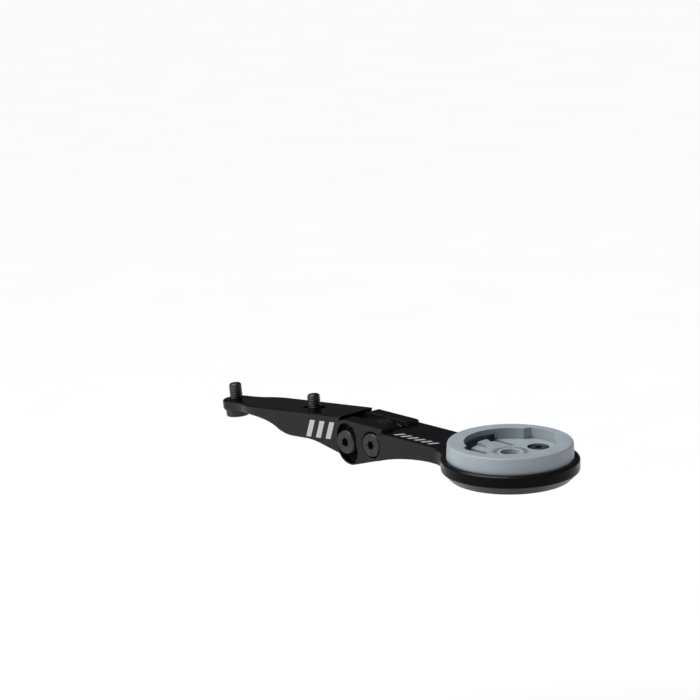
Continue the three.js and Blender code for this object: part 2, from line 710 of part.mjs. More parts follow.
function armGroup() {
  const tilting = new THREE.Group();
  tilting.position.set(PIVOT_X, 0, TOP_TO_PIVOT);
  tilting.rotation.y = deg(REST_TILT_DEG);
  tilting.add(arm());
  tilting.add(pivotScrew());
  tilting.add(pivotNut());
  tilting.add(pivotSleeve());
  tilting.add(frictionWasher('friction_washer_right', -1));
  tilting.add(frictionWasher('friction_washer_left', 1));
  tilting.add(seatGroup());
  return tilting;
}

const group = new THREE.Group();
group.name = 'computer_mount';
group.add(baseBracket());
group.add(barBolt('rear_bar_bolt', REAR_LUG_X, -REAR_PAD_THICK));
group.add(barWasher('rear_bar_washer', REAR_LUG_X, -REAR_PAD_THICK));
group.add(barBolt('front_bar_bolt', FRONT_BOLT_X, FRONT_LAND_Z));
group.add(barWasher('front_bar_washer', FRONT_BOLT_X, FRONT_LAND_Z));
group.add(lockScrew());
group.add(lockWasher());
group.add(lockSliderNut());
group.add(armGroup());

export default group;
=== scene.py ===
"""Looks for an out-front cycling computer mount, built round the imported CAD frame.

Every solid is drawn in millimetres in its own plain space, turned into place and scaled to
metres. The base bracket is drawn in the row's frame. The arm and everything on it is drawn in
the arm's frame, whose origin is the hinge pin, and is tipped forward by the rest tilt.
"""
import json
import math

import bmesh
import bpy
from mathutils import Matrix, Vector


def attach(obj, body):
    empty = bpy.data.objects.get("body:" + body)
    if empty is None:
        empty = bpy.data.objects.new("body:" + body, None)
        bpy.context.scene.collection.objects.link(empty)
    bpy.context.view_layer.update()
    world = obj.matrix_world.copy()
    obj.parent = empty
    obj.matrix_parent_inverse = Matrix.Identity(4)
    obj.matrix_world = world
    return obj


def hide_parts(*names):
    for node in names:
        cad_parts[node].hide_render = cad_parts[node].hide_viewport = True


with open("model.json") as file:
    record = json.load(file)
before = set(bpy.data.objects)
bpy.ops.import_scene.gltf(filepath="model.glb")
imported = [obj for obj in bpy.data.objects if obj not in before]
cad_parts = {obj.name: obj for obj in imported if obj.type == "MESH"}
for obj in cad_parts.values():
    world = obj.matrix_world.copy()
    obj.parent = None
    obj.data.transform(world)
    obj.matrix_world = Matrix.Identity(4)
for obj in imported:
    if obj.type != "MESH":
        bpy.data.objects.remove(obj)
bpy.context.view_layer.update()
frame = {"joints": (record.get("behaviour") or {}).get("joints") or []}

MM = 0.001

# ---------------------------------------------------------------- sizes, mm

BASE_WIDTH = 13.8
BASE_FRONT_X = 25.5
REAR_LUG_X = -27.0
REAR_LUG_RADIUS = 4.3
REAR_PAD_THICK = 2.7
BASE_MID_DEPTH = 7.9
BASE_FRONT_DEPTH = 11.6
FRONT_BOLT_X = 8.0
FRONT_SLOT_TRAVEL = 2.0
FRONT_LAND_Z = -3.4

REST_TILT_DEG = 6.0
TILT_UP_DEG = 9.0
TILT_DOWN_DEG = 12.0
SCREW_SPACING = 10.65
TONGUE_THICK = 5.0
TONGUE_KEEL = 1.0
FRICTION_WASHER_THICK = 0.3
SIDE_PLAY = 0.05
EAR_SPAN = 15.6
EAR_REACH = 14.9
EAR_CORNER_RADIUS = 3.0
EAR_TOE_RADIUS = 5.6
EAR_TOE_ANGLE = 193.5
EAR_SOLE_ANGLE = 18
EAR_TOP_V = 5.5
STEP_U = 4.2
NOSE_RADIUS = 4.4
SWING_CLEARANCE = 0.45

ARM_WIDTH = 17.0
ARM_REACH = 48.25
ARM_TOP_V = 4.4
CUP_RADIUS = 19.85
CUP_BAND_DEPTH = 3.5
CUP_BOTTOM_CHAMFER = 2.5
CUP_FLARE_RADIUS = 8.0

INSERT_RADIUS = 18.0
INSERT_HEIGHT = 6.0
INSERT_STANDS_PROUD = 4.7
SEAT_OPENING_RADIUS = 13.2
SEAT_GROOVE_RADIUS = 14.9
SEAT_LIP_THICK = 1.6
SEAT_DEPTH = 3.25
NOTCH_HALF_ANGLE = 26.5
NOTCH_BACK_HALF_ANGLE = 19.5
STOP_ANGLE = 27
FINGER_ROOT = 4.1
FINGER_TIP = 11.8
FINGER_SLIT = 1.5
FINGER_SLIT_FLARE = 0.3
WINDOW_INSET = 0.4
SLIT_BESIDE_WELL = 0.25
BUMP_WIDTH = 3.2
BUMP_HEIGHT = 1.25
BUMP_SHARE = 0.55
CENTRE_HOLE_DIA = 5.7
CENTRE_HOLE_DEPTH = 1.5
FINGER_SHEET = 1.35
FINGER_ROOT_GAP = 0.12

BOLT_DIA = 4.0
BOLT_HEAD_DIA = 7.1
BOLT_HEAD_HEIGHT = 2.4
BAR_BOLT_HEAD_HEIGHT = 2.2
BAR_BOLT_LENGTH = 8.0
BAR_WASHER_DIA = 8.0
BAR_WASHER_THICK = 0.5
LOCK_WASHER_THICK = 0.5
POCKET_DEPTH = 2.35
HINGE_POCKET_DEPTH = 1.9
HINGE_HEAD_CLEARANCE = 0.5
LOCK_SLOT_SPARE_DEG = 0.6
POCKET_RIM = 0.4
POCKET_OVERRUN_DEG = 3.0
HEX_KEY = 2.5
SLEEVE_DIA = 5.0
SLIDER_THICK = 2.2
SLIDER_WIDTH = 6.2
SLIDER_HALF_ANGLE = 3
PIVOT_NUT_AF = 7.0
PIVOT_NUT_THICK = 2.2
INSERT_SCREW_DIA = 3.0
INSERT_SCREW_HEAD_DIA = 5.6
INSERT_SCREW_HEAD_HEIGHT = 1.15
INSERT_SCREW_RING = 9.5
INSERT_SCREW_BEARING = 76
INSERT_SCREW_WELL_DIA = 6.4
INSERT_SCREW_WELL_DEPTH = 1.25
HOLE_CLEARANCE = 0.15
HEAD_CLEARANCE = 0.4
CONTACT_GAP = 0.02

tilt_joint = next(j for j in frame["joints"] if j["name"] == "tilt")
PIVOT = Vector(tilt_joint["pos_m"]) / MM
PIVOT_X = PIVOT.x
PIVOT_Z = PIVOT.z

SLOT_WIDTH = TONGUE_THICK + 2 * (FRICTION_WASHER_THICK + SIDE_PLAY)
SHOULDER_RADIUS = EAR_REACH + SWING_CLEARANCE
HOLE_DIA = BOLT_DIA + 2 * HOLE_CLEARANCE
POCKET_WIDTH = BOLT_HEAD_DIA + 2 * HEAD_CLEARANCE
SLOT_FRONT_U = NOSE_RADIUS + 0.5
RING_TOP_V = ARM_TOP_V + INSERT_STANDS_PROUD
CUP_FLOOR_V = RING_TOP_V - INSERT_HEIGHT - CONTACT_GAP
CUP_BAND_BOTTOM_V = ARM_TOP_V - CUP_BAND_DEPTH
CUP_BOTTOM_V = CUP_BAND_BOTTOM_V - CUP_BOTTOM_CHAMFER
CUP_POCKET_RADIUS = INSERT_RADIUS + 0.4
RIGHT_Y = -EAR_SPAN / 2
LEFT_Y = EAR_SPAN / 2
RIGHT_FLOOR_Y = RIGHT_Y + POCKET_DEPTH
HINGE_FLOOR_Y = RIGHT_Y + HINGE_POCKET_DEPTH
LEFT_FLOOR_Y = LEFT_Y - POCKET_DEPTH
WELL_Y = INSERT_SCREW_RING * math.sin(math.radians(INSERT_SCREW_BEARING))
FINGER_HALF = WELL_Y - INSERT_SCREW_WELL_DIA / 2 + SLIT_BESIDE_WELL - FINGER_SLIT

IN_ROW = Matrix.Identity(4)
IN_ARM = Matrix.Translation(PIVOT) @ Matrix.Rotation(math.radians(REST_TILT_DEG), 4, "Y")
IN_SEAT = IN_ARM @ Matrix.Translation((ARM_REACH, 0, RING_TOP_V))


# ---------------------------------------------------------------- outlines

def arc(cx, cy, r, start, end, steps):
    """Points on an arc, angles in degrees, both ends included."""
    out = []
    for i in range(steps + 1):
        a = math.radians(start + (end - start) * i / steps)
        out.append((cx + r * math.cos(a), cy + r * math.sin(a)))
    return out


def curve_to(points, control, end, steps=6):
    """Adds a quadratic curve from the last point."""
    x0, y0 = points[-1]
    for i in range(1, steps + 1):
        t = i / steps
        s = 1 - t
        points.append((s * s * x0 + 2 * s * t * control[0] + t * t * end[0],
                       s * s * y0 + 2 * s * t * control[1] + t * t * end[1]))


def tidy_outline(points):
    """Drops repeated points and makes the outline run anticlockwise."""
    out = []
    for p in points:
        if not out or math.dist(p, out[-1]) > 0.02:
            out.append(p)
    if math.dist(out[0], out[-1]) <= 0.02:
        out.pop()
    area = sum(a[0] * b[1] - b[0] * a[1] for a, b in zip(out, out[1:] + out[:1]))
    return out if area > 0 else out[::-1]


def inset(points, amount):
    """Moves each edge of an anticlockwise outline inwards by the same amount."""
    out = []
    n = len(points)
    for i in range(n):
        before, here, after = (Vector(points[(i + k) % n]) for k in (-1, 0, 1))
        d0 = (here - before).normalized()
        d1 = (after - here).normalized()
        n0 = Vector((-d0.y, d0.x))
        n1 = Vector((-d1.y, d1.x))
        mid = (n0 + n1).normalized()
        out.append(tuple(here + mid * (amount / max(0.3, mid.dot(n0)))))
    return out


# ---------------------------------------------------------------- solids

def mesh_object(name, bm):
    mesh = bpy.data.meshes.new(name)
    bm.to_mesh(mesh)
    bm.free()
    obj = bpy.data.objects.new(name, mesh)
    bpy.context.scene.collection.objects.link(obj)
    return obj


def loft(name, loops):
    """Skins equal loops of points, one above the other, and closes both ends."""
    bm = bmesh.new()
    rows = [[bm.verts.new(p) for p in loop] for loop in loops]
    count = len(rows[0])
    for low, high in zip(rows, rows[1:]):
        for i in range(count):
            j = (i + 1) % count
            bm.faces.new((low[i], low[j], high[j], high[i]))
    bm.faces.new(rows[0][::-1])
    bm.faces.new(rows[-1])
    return mesh_object(name, bm)


def plate(outline, low, high, top_chamfer=0.0, low_chamfer=0.0, name="blank"):
    """Upright plate with an outline in x and y."""
    pts = tidy_outline(outline)
    levels = [(low, low_chamfer)] if low_chamfer else []
    levels += [(low + low_chamfer, 0), (high - top_chamfer, 0)]
    levels += [(high, top_chamfer)] if top_chamfer else []
    loops = []
    for z, shrink in levels:
        ring = inset(pts, shrink) if shrink else pts
        loops.append([(x, y, z) for x, y in ring])
    return loft(name, loops)


def side_plate(outline, y0, y1, chamfer=0.0, name="blank"):
    """Plate with an outline in x and z, standing between two sides."""
    obj = plate(outline, -y1, -y0, chamfer, chamfer, name)
    obj.data.transform(Matrix.Rotation(math.radians(90), 4, "X"))
    return obj


def turned(profile, steps=96, name="blank"):
    """Solid of revolution about Z; the profile's first and last points are on the axis."""
    bm = bmesh.new()
    poles = [bm.verts.new((0, 0, profile[0][1])), bm.verts.new((0, 0, profile[-1][1]))]
    rings = []
    for r, z in profile[1:-1]:
        rings.append([bm.verts.new((x, y, z)) for x, y in arc(0, 0, r, 0, 360, steps)[:-1]])
    for low, high in zip(rings, rings[1:]):
        for i in range(steps):
            j = (i + 1) % steps
            bm.faces.new((low[i], low[j], high[j], high[i]))
    for pole, ring in zip(poles, (rings[0][::-1], rings[-1])):
        if abs(pole.co.z - ring[0].co.z) < 1e-6:
            bm.verts.remove(pole)
            bm.faces.new(ring)
        else:
            for i in range(steps):
                bm.faces.new((ring[i], ring[(i + 1) % steps], pole))
    bmesh.ops.recalc_face_normals(bm, faces=bm.faces)
    return mesh_object(name, bm)


def post(r, z0, z1, x=0.0, y=0.0, steps=48):
    return plate(arc(x, y, r, 0, 360, steps), z0, z1)


def cross_pin(r, y0, y1, x=0.0, z=0.0, steps=48):
    return side_plate(arc(x, z, r, 0, 360, steps), y0, y1)


def brick(x0, x1, y0, y1, z0, z1):
    return plate([(x0, y0), (x1, y0), (x1, y1), (x0, y1)], z0, z1)


def evaluated_mesh(obj):
    graph = bpy.context.evaluated_depsgraph_get()
    mesh = bpy.data.meshes.new_from_object(obj.evaluated_get(graph))
    obj.modifiers.clear()
    old = obj.data
    obj.data = mesh
    bpy.data.meshes.remove(old)


def shape_by(obj, tools, how):
    """Joins, cuts or meets a solid with others, which are used up."""
    for tool in tools:
        mod = obj.modifiers.new(how.lower(), "BOOLEAN")
        mod.operation = how
        mod.solver = "MANIFOLD"
        mod.object = tool
    evaluated_mesh(obj)
    for tool in tools:
        mesh = tool.data
        bpy.data.objects.remove(tool)
        bpy.data.meshes.remove(mesh)
    return obj


def join(obj, *tools):
    return shape_by(obj, tools, "UNION")


def cut(obj, *tools):
    return shape_by(obj, tools, "DIFFERENCE")


def meet(obj, *tools):
    return shape_by(obj, tools, "INTERSECT")


def machined(obj, edge=0.15, segments=2, angle=28):
    """Cleans the faces of a cut solid and gives its edges a small round."""
    bm = bmesh.new()
    bm.from_mesh(obj.data)
    bmesh.ops.remove_doubles(bm, verts=bm.verts, dist=0.004)
    bmesh.ops.dissolve_limit(bm, angle_limit=math.radians(0.6), verts=bm.verts, edges=bm.edges)
    bmesh.ops.recalc_face_normals(bm, faces=bm.faces)
    bm.to_mesh(obj.data)
    bm.free()
    if edge > 0:
        bevel = obj.modifiers.new("edge", "BEVEL")
        bevel.width = edge
        bevel.segments = segments
        bevel.limit_method = "ANGLE"
        bevel.angle_limit = math.radians(angle)
        bevel.use_clamp_overlap = False
        bevel.miter_outer = "MITER_ARC"
        bevel.harden_normals = False
    for poly in obj.data.polygons:
        poly.use_smooth = True
    weighted = obj.modifiers.new("normals", "WEIGHTED_NORMAL")
    weighted.weight = 80
    weighted.keep_sharp = True
    evaluated_mesh(obj)
    return obj


def place(obj, name, where, body, material, slot, *nodes):
    """Turns a finished solid into its place in metres and hands it to its body."""
    obj.data.transform(Matrix.Diagonal((MM, MM, MM, 1)) @ where)
    obj.name = name
    obj.data.name = name
    obj.data.materials.clear()
    obj.data.materials.append(material)
    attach(obj, body)
    if nodes:
        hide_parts(*nodes)
    return obj


# ---------------------------------------------------------------- material nodes

class Recipe:
    """Small helper that lays out one material's nodes."""

    def __init__(self, name):
        self.material = bpy.data.materials.new(name)
        self.material.use_nodes = True
        self.nodes = self.material.node_tree.nodes
        self.links = self.material.node_tree.links
        self.shader = self.nodes["Principled BSDF"]
        self.place = self.add("ShaderNodeTexCoord").outputs["Object"]

    def add(self, kind, **settings):
        node = self.nodes.new(kind)
        for key, value in settings.items():
            setattr(node, key, value)
        return node

    def set(self, **values):
        for key, value in values.items():
            self.shader.inputs[key.replace("_", " ")].default_value = value

    def noise(self, scale_mm, detail=3.0, rough=0.5, stretch=(1, 1, 1), distort=0.0):
        """Noise whose features are about scale_mm across."""
        mapping = self.add("ShaderNodeMapping")
        mapping.inputs["Scale"].default_value = [s / (scale_mm * MM) for s in stretch]
        self.links.new(self.place, mapping.inputs["Vector"])
        node = self.add("ShaderNodeTexNoise")
        node.inputs["Scale"].default_value = 1.0
        node.inputs["Detail"].default_value = detail
        node.inputs["Roughness"].default_value = rough
        node.inputs["Distortion"].default_value = distort
        self.links.new(mapping.outputs["Vector"], node.inputs["Vector"])
        return node.outputs["Fac"]

    def spread(self, value, low, high, to_low, to_high):
        node = self.add("ShaderNodeMapRange")
        for key, number in zip(("From Min", "From Max", "To Min", "To Max"),
                               (low, high, to_low, to_high)):
            node.inputs[key].default_value = number
        self.links.new(value, node.inputs["Value"])
        return node.outputs["Result"]

    def maths(self, how, a, b):
        node = self.add("ShaderNodeMath", operation=how)
        for socket, value in zip(node.inputs, (a, b)):
            if isinstance(value, (int, float)):
                socket.default_value = value
            else:
                self.links.new(value, socket)
        return node.outputs[0]

    def mix(self, fac, a, b):
        """Colour a where fac is 0 and b where it is 1; each may be a colour or a socket."""
        node = self.add("ShaderNodeMix", data_type="RGBA")
        self.links.new(fac, node.inputs["Factor"])
        for socket, value in zip((node.inputs[6], node.inputs[7]), (a, b)):
            if isinstance(value, tuple):
                socket.default_value = (*value, 1)
            else:
                self.links.new(value, socket)
        return node.outputs[2]

    def edge_mask(self, width_mm, sharp=0.12):
        """1 on edges, 0 on flat faces; the materials lighten these edges for wear, and on the anodised metal
        also as a painted highlight.
        """
        bevel = self.add("ShaderNodeBevel", samples=6)
        bevel.inputs["Radius"].default_value = width_mm * MM
        flat = self.add("ShaderNodeNewGeometry").outputs["True Normal"]
        dot = self.add("ShaderNodeVectorMath", operation="DOT_PRODUCT")
        self.links.new(bevel.outputs["Normal"], dot.inputs[0])
        self.links.new(flat, dot.inputs[1])
        return self.spread(dot.outputs["Value"], 1.0, 1.0 - sharp, 0.0, 1.0)

    def facing_up(self, low, high):
        """1 on faces that look up, 0 on upright ones."""
        split = self.add("ShaderNodeSeparateXYZ")
        self.links.new(self.add("ShaderNodeNewGeometry").outputs["True Normal"], split.inputs[0])
        return self.spread(split.outputs["Z"], low, high, 0.0, 1.0)

    def marked(self, name):
        """The value of one of the mesh's own face marks."""
        return self.add("ShaderNodeAttribute", attribute_name=name).outputs["Fac"]

    def painted_hollow_shade(self, reach_mm):
        """1 deep in slits and holes, 0 in the open; used to paint shade into hollows."""
        crevice_occlusion = self.add("ShaderNodeAmbientOcclusion", samples=8)
        crevice_occlusion.inputs["Distance"].default_value = reach_mm * MM
        return self.spread(crevice_occlusion.outputs["AO"], 0.30, 0.62, 1.0, 0.0)

    def bump(self, *heights):
        """Stacks bumps; each is (height socket, depth in mm)."""
        last = None
        for height, depth in heights:
            node = self.add("ShaderNodeBump")
            node.inputs["Distance"].default_value = depth * MM
            node.inputs["Strength"].default_value = 1.0
            self.links.new(height, node.inputs["Height"])
            if last:
                self.links.new(last, node.inputs["Normal"])
            last = node.outputs["Normal"]
        self.links.new(last, self.shader.inputs["Normal"])

    def colour(self, socket):
        self.links.new(socket, self.shader.inputs["Base Color"])

    def roughness(self, socket):
        self.links.new(socket, self.shader.inputs["Roughness"])


def black_anodised():
    """Aluminium dyed black, bead blasted on its sides. Faces that look up get a deeper black, which is
    painted shade, and are glossier; the cup's turned wall gets the same deeper black and gloss. Edges are
    lighter, partly wear and partly a painted highlight.
    """
    m = Recipe("black_anodised")
    m.set(IOR=1.45)
    cloud = m.noise(6.0, 3.0, 0.55)
    grain = m.noise(0.16, 2.0, 0.6)
    streak = m.noise(0.5, 2.0, 0.5, stretch=(0.05, 1, 1))
    # Mask of faces that look up, whose deeper black is painted shade, and of the cup's turned wall.
    top_shade_and_turned_wall = m.maths("MAXIMUM", m.facing_up(0.55, 0.9), m.marked("turned_face"))
    blasted = m.mix(m.spread(cloud, 0.3, 0.7, 0, 1), (0.0045, 0.0047, 0.0054), (0.0085, 0.0087, 0.0095))
    speck = m.mix(m.spread(grain, 0.62, 0.78, 0, 0.5), blasted, (0.02, 0.02, 0.022))
    # Deeper black for faces that look up (painted shade) and for the cup's turned wall.
    deep = m.mix(m.spread(cloud, 0.3, 0.7, 0, 1), (0.0010, 0.0010, 0.0013), (0.0026, 0.0026, 0.0030))
    ground = m.mix(top_shade_and_turned_wall, speck, deep)
    # Lighter edges: partly wear, partly a painted highlight along the chamfers.
    edge_lightening = m.maths("MULTIPLY", m.edge_mask(0.22), m.spread(m.noise(1.4, 4.0, 0.7), 0.40, 0.66, 0.15, 1.0))
    m.colour(m.mix(edge_lightening, ground, (0.075, 0.075, 0.079)))
    m.links.new(m.spread(top_shade_and_turned_wall, 0.0, 1.0, 0.21, 0.08), m.shader.inputs["Specular IOR Level"])
    dull = m.maths("ADD", m.spread(cloud, 0.3, 0.7, 0.27, 0.37), m.spread(streak, 0.3, 0.7, -0.03, 0.05))
    m.roughness(m.maths("SUBTRACT", dull, m.maths("MULTIPLY", top_shade_and_turned_wall, 0.10)))
    m.bump((grain, 0.010), (streak, 0.006))
    return m.material


def black_steel():
    """Blackened steel screws: dark, a little oily, bright where the key has rubbed."""
    m = Recipe("black_steel")
    m.set(Metallic=0.75)
    cloud = m.noise(1.8, 4.0, 0.6)
    grain = m.noise(0.10, 2.0, 0.6)
    ground = m.mix(m.spread(cloud, 0.3, 0.7, 0, 1), (0.022, 0.022, 0.024), (0.045, 0.044, 0.045))
    edge_lightening = m.maths("MULTIPLY", m.edge_mask(0.14, 0.2), m.spread(m.noise(0.7, 4.0, 0.7), 0.4, 0.7, 0.1, 0.9))
    m.colour(m.mix(edge_lightening, ground, (0.20, 0.20, 0.20)))
    m.roughness(m.spread(cloud, 0.3, 0.7, 0.30, 0.44))
    m.bump((grain, 0.008))
    return m.material


def bright_steel():
    """Plain turned steel with fine rings of tool marks."""
    m = Recipe("bright_steel")
    m.set(Metallic=1.0)
    cloud = m.noise(2.0, 3.0, 0.5)
    fine = m.noise(0.12, 2.0, 0.5, stretch=(1, 0.1, 1))
    m.colour(m.mix(m.spread(cloud, 0.3, 0.7, 0, 1), (0.42, 0.42, 0.43), (0.56, 0.56, 0.57)))
    m.roughness(m.spread(fine, 0.3, 0.7, 0.24, 0.38))
    m.bump((fine, 0.008))
    return m.material


def grey_plastic():
    """Moulded grey nylon with a spark-eroded grain and a faint flow of colour; its slits, wells, grooves and
    holes are painted near black as painted shade.
    """
    m = Recipe("grey_plastic")
    m.set(IOR=1.5)
    flow = m.noise(9.0, 4.0, 0.55, distort=0.6)
    grain = m.noise(0.22, 3.0, 0.6)
    fleck = m.noise(0.09, 2.0, 0.5)
    ground = m.mix(m.spread(flow, 0.3, 0.7, 0, 1), (0.275, 0.315, 0.345), (0.315, 0.358, 0.388))
    tone = m.mix(m.spread(fleck, 0.58, 0.72, 0, 0.5), ground, (0.38, 0.42, 0.44))
    edge_lightening = m.maths("MULTIPLY", m.edge_mask(0.3), m.spread(m.noise(1.6, 4.0, 0.7), 0.45, 0.7, 0.0, 0.55))
    worn = m.mix(edge_lightening, tone, (0.52, 0.55, 0.57))
    # Slits, wells, grooves and holes painted near black: painted shade.
    m.colour(m.mix(m.painted_hollow_shade(2.5), worn, (0.03, 0.038, 0.036)))
    m.roughness(m.maths("ADD", m.spread(flow, 0.3, 0.7, 0.42, 0.5), m.spread(grain, 0.3, 0.7, -0.05, 0.07)))
    m.bump((grain, 0.022), (fleck, 0.006))
    return m.material


def black_nylon():
    """Punched black nylon sheet."""
    m = Recipe("black_nylon")
    cloud = m.noise(1.5, 3.0, 0.5)
    m.colour(m.mix(m.spread(cloud, 0.3, 0.7, 0, 1), (0.018, 0.018, 0.02), (0.035, 0.035, 0.037)))
    m.roughness(m.spread(cloud, 0.3, 0.7, 0.45, 0.6))
    m.bump((m.noise(0.15, 2.0, 0.5), 0.01))
    return m.material


def printed_grey():
    """Pad-printed light grey ink, thin and slightly worn."""
    m = Recipe("printed_grey")
    wear = m.noise(0.35, 4.0, 0.7)
    m.colour(m.mix(m.spread(wear, 0.58, 0.75, 0, 0.7), (0.40, 0.41, 0.42), (0.20, 0.20, 0.21)))
    m.roughness(m.spread(wear, 0.3, 0.7, 0.45, 0.6))
    m.bump((m.noise(0.2, 2.0, 0.5), 0.008))
    return m.material


def shaded_grey():
    """Darker grey plastic for the small raised ticks: painted shade, standing in for the shade in fine
    engraved marks.
    """
    m = Recipe("shaded_grey")
    cloud = m.noise(0.6, 4.0, 0.6)
    m.colour(m.mix(m.spread(cloud, 0.3, 0.7, 0, 1), (0.085, 0.095, 0.10), (0.15, 0.165, 0.17)))
    m.roughness(m.spread(cloud, 0.3, 0.7, 0.45, 0.6))
    m.bump((m.noise(0.12, 2.0, 0.5), 0.01))
    return m.material


ANODISED = black_anodised()
BLACK_STEEL = black_steel()
BRIGHT_STEEL = bright_steel()
PLASTIC = grey_plastic()
NYLON = black_nylon()
INK = printed_grey()
MARK = shaded_grey()


# ---------------------------------------------------------------- base bracket

def base_side():
    pts = [(REAR_LUG_X - 6, 0), (REAR_LUG_X - 6, -REAR_PAD_THICK), (-14.5, -REAR_PAD_THICK)]
    curve_to(pts, (-6.5, -3.6), (-3.0, -5.5))
    curve_to(pts, (0.2, -7.5), (3.5, -BASE_MID_DEPTH + 0.15))
    curve_to(pts, (7.5, -BASE_MID_DEPTH), (11.5, -BASE_MID_DEPTH - 0.15), 4)
    curve_to(pts, (13.6, -8.3), (15.5, -8.8), 3)
    pts += [(BASE_FRONT_X - 0.5, -BASE_FRONT_DEPTH), (BASE_FRONT_X + 4, -BASE_FRONT_DEPTH - 1.2)]
    return pts + [(BASE_FRONT_X + 4, 0)]


def base_plan():
    half = BASE_WIDTH / 2
    lug = REAR_LUG_RADIUS
    pts = [(BASE_FRONT_X + 5, half), (-10, half)]
    curve_to(pts, (-15, half), (-19, lug + 0.75))
    curve_to(pts, (-22, lug), (REAR_LUG_X + 2, lug))
    pts += arc(REAR_LUG_X, 0, lug, 90, 180, 10)
    return pts + [(x, -y) for x, y in reversed(pts)]


def tongue_side():
    top = -1.5
    corner_x = PIVOT_X - 2.6
    reach = math.dist((corner_x, top), (PIVOT_X, PIVOT_Z))
    upper = math.degrees(math.atan2(top - PIVOT_Z, corner_x - PIVOT_X) - math.acos(NOSE_RADIUS / reach))
    keel = -BASE_FRONT_DEPTH - TONGUE_KEEL
    pts = [(BASE_FRONT_X - 6, top), (BASE_FRONT_X - 6, -BASE_FRONT_DEPTH + 1.8)]
    pts += [(BASE_FRONT_X + 1, keel), (BASE_FRONT_X + 6, keel)]
    pts += arc(PIVOT_X, PIVOT_Z, NOSE_RADIUS, -97, upper, 18)
    return pts + [(corner_x, top)]


def slot_hole(width, x0, x1, z0, z1):
    r = width / 2
    return plate(arc(x1, 0, r, -90, 90, 16) + arc(x0, 0, r, 90, 270, 16), z0, z1)


def base_bracket():
    body = plate(base_plan(), -18, 0, top_chamfer=0.4)
    meet(body, side_plate(base_side(), -BASE_WIDTH / 2, BASE_WIDTH / 2, chamfer=0.35))
    cut(body, cross_pin(SHOULDER_RADIUS, -20, 20, PIVOT_X, PIVOT_Z, 160))
    join(body, side_plate(tongue_side(), -TONGUE_THICK / 2, TONGUE_THICK / 2, chamfer=0.3))
    cut(body, cross_pin(SLEEVE_DIA / 2 + HOLE_CLEARANCE, -10, 10, PIVOT_X, PIVOT_Z))
    cut(body, cross_pin(HOLE_DIA / 2, -10, 10, PIVOT_X - SCREW_SPACING, PIVOT_Z))
    x0 = FRONT_BOLT_X - FRONT_SLOT_TRAVEL
    x1 = FRONT_BOLT_X + FRONT_SLOT_TRAVEL
    cut(body, post(HOLE_DIA / 2, -20, 5, REAR_LUG_X), slot_hole(HOLE_DIA, x0, x1, -20, 5))
    cut(body, slot_hole(BAR_WASHER_DIA + 0.4, x0, x1, -20, FRONT_LAND_Z))
    machined(body, 0.12)
    return place(body, "bracket", IN_ROW, "base", ANODISED, "black_anodised", "base_bracket")


# ---------------------------------------------------------------- arm

def ear_end(shrink=0.0):
    """Rear end of an ear: a small top corner, the hinge's own arc, then a round toe."""
    corner_v = EAR_TOP_V - EAR_CORNER_RADIUS
    corner_u = -math.sqrt((EAR_REACH - EAR_CORNER_RADIUS) ** 2 - corner_v ** 2)
    corner_end = math.degrees(math.atan2(corner_v, corner_u))
    toe = EAR_REACH - EAR_TOE_RADIUS
    toe_u = toe * math.cos(math.radians(EAR_TOE_ANGLE))
    toe_v = toe * math.sin(math.radians(EAR_TOE_ANGLE))
    pts = arc(corner_u, corner_v, EAR_CORNER_RADIUS - shrink, 90, corner_end, 12)
    pts += arc(0, 0, EAR_REACH - shrink, corner_end, EAR_TOE_ANGLE, 16)[1:]
    return pts + arc(toe_u, toe_v, EAR_TOE_RADIUS - shrink, EAR_TOE_ANGLE, 270 + EAR_SOLE_ANGLE, 24)[1:]


def arm_side():
    front = -EAR_REACH + EAR_CORNER_RADIUS + 1
    pts = [(ARM_REACH, EAR_TOP_V + 1), (front, EAR_TOP_V + 1), (front, EAR_TOP_V)]
    pts += ear_end()
    pts += [(-1.0, -5.45), (6.3, -3.15)]
    curve_to(pts, (14.5, -0.75), (24, -0.25), 10)
    return pts + [(ARM_REACH, -0.25)]


def rim_limit(y0, y1):
    """What a pocket may use of an ear, leaving a thin rim round its end."""
    return side_plate([(0, EAR_TOP_V - POCKET_RIM)] + ear_end(POCKET_RIM) + [(0, -4.5)], y0, y1)


def arm_plan():
    half = ARM_WIDTH / 2
    r = CUP_FLARE_RADIUS
    u = ARM_REACH - math.sqrt((CUP_RADIUS + r) ** 2 - (half + r) ** 2)
    turn = math.degrees(math.acos((half + r) / (CUP_RADIUS + r)))
    pts = [(STEP_U - 1.5, half), (STEP_U - 1.5, -half)]
    pts += arc(u, -half - r, r, 90, 90 - turn, 10)
    pts += [(ARM_REACH, -CUP_RADIUS + 4), (ARM_REACH, CUP_RADIUS - 4)]
    return pts + arc(u, half + r, r, turn - 90, -90, 10)


def arc_slot(radius, width, a0, a1, y0, y1):
    """Round-ended slot that follows an arc about the hinge pin."""
    half = width / 2
    ends = [(radius * math.cos(math.radians(a)), radius * math.sin(math.radians(a))) for a in (a0, a1)]
    pts = arc(0, 0, radius + half, a0, a1, 14)
    pts += arc(*ends[1], half, a1, a1 + 180, 14)
    pts += arc(0, 0, radius - half, a1, a0, 14)
    pts += arc(*ends[0], half, a0 + 180, a0 + 360, 14)
    return side_plate(pts, y0, y1)


def hexagon(across_flats, turn=0.0):
    return arc(0, 0, across_flats / math.sqrt(3), turn, turn + 300, 5)


def insert_screw_spots():
    out = []
    for a in (INSERT_SCREW_BEARING, INSERT_SCREW_BEARING + 180):
        a = math.radians(a)
        out.append((INSERT_SCREW_RING * math.cos(a), INSERT_SCREW_RING * math.sin(a)))
    return out


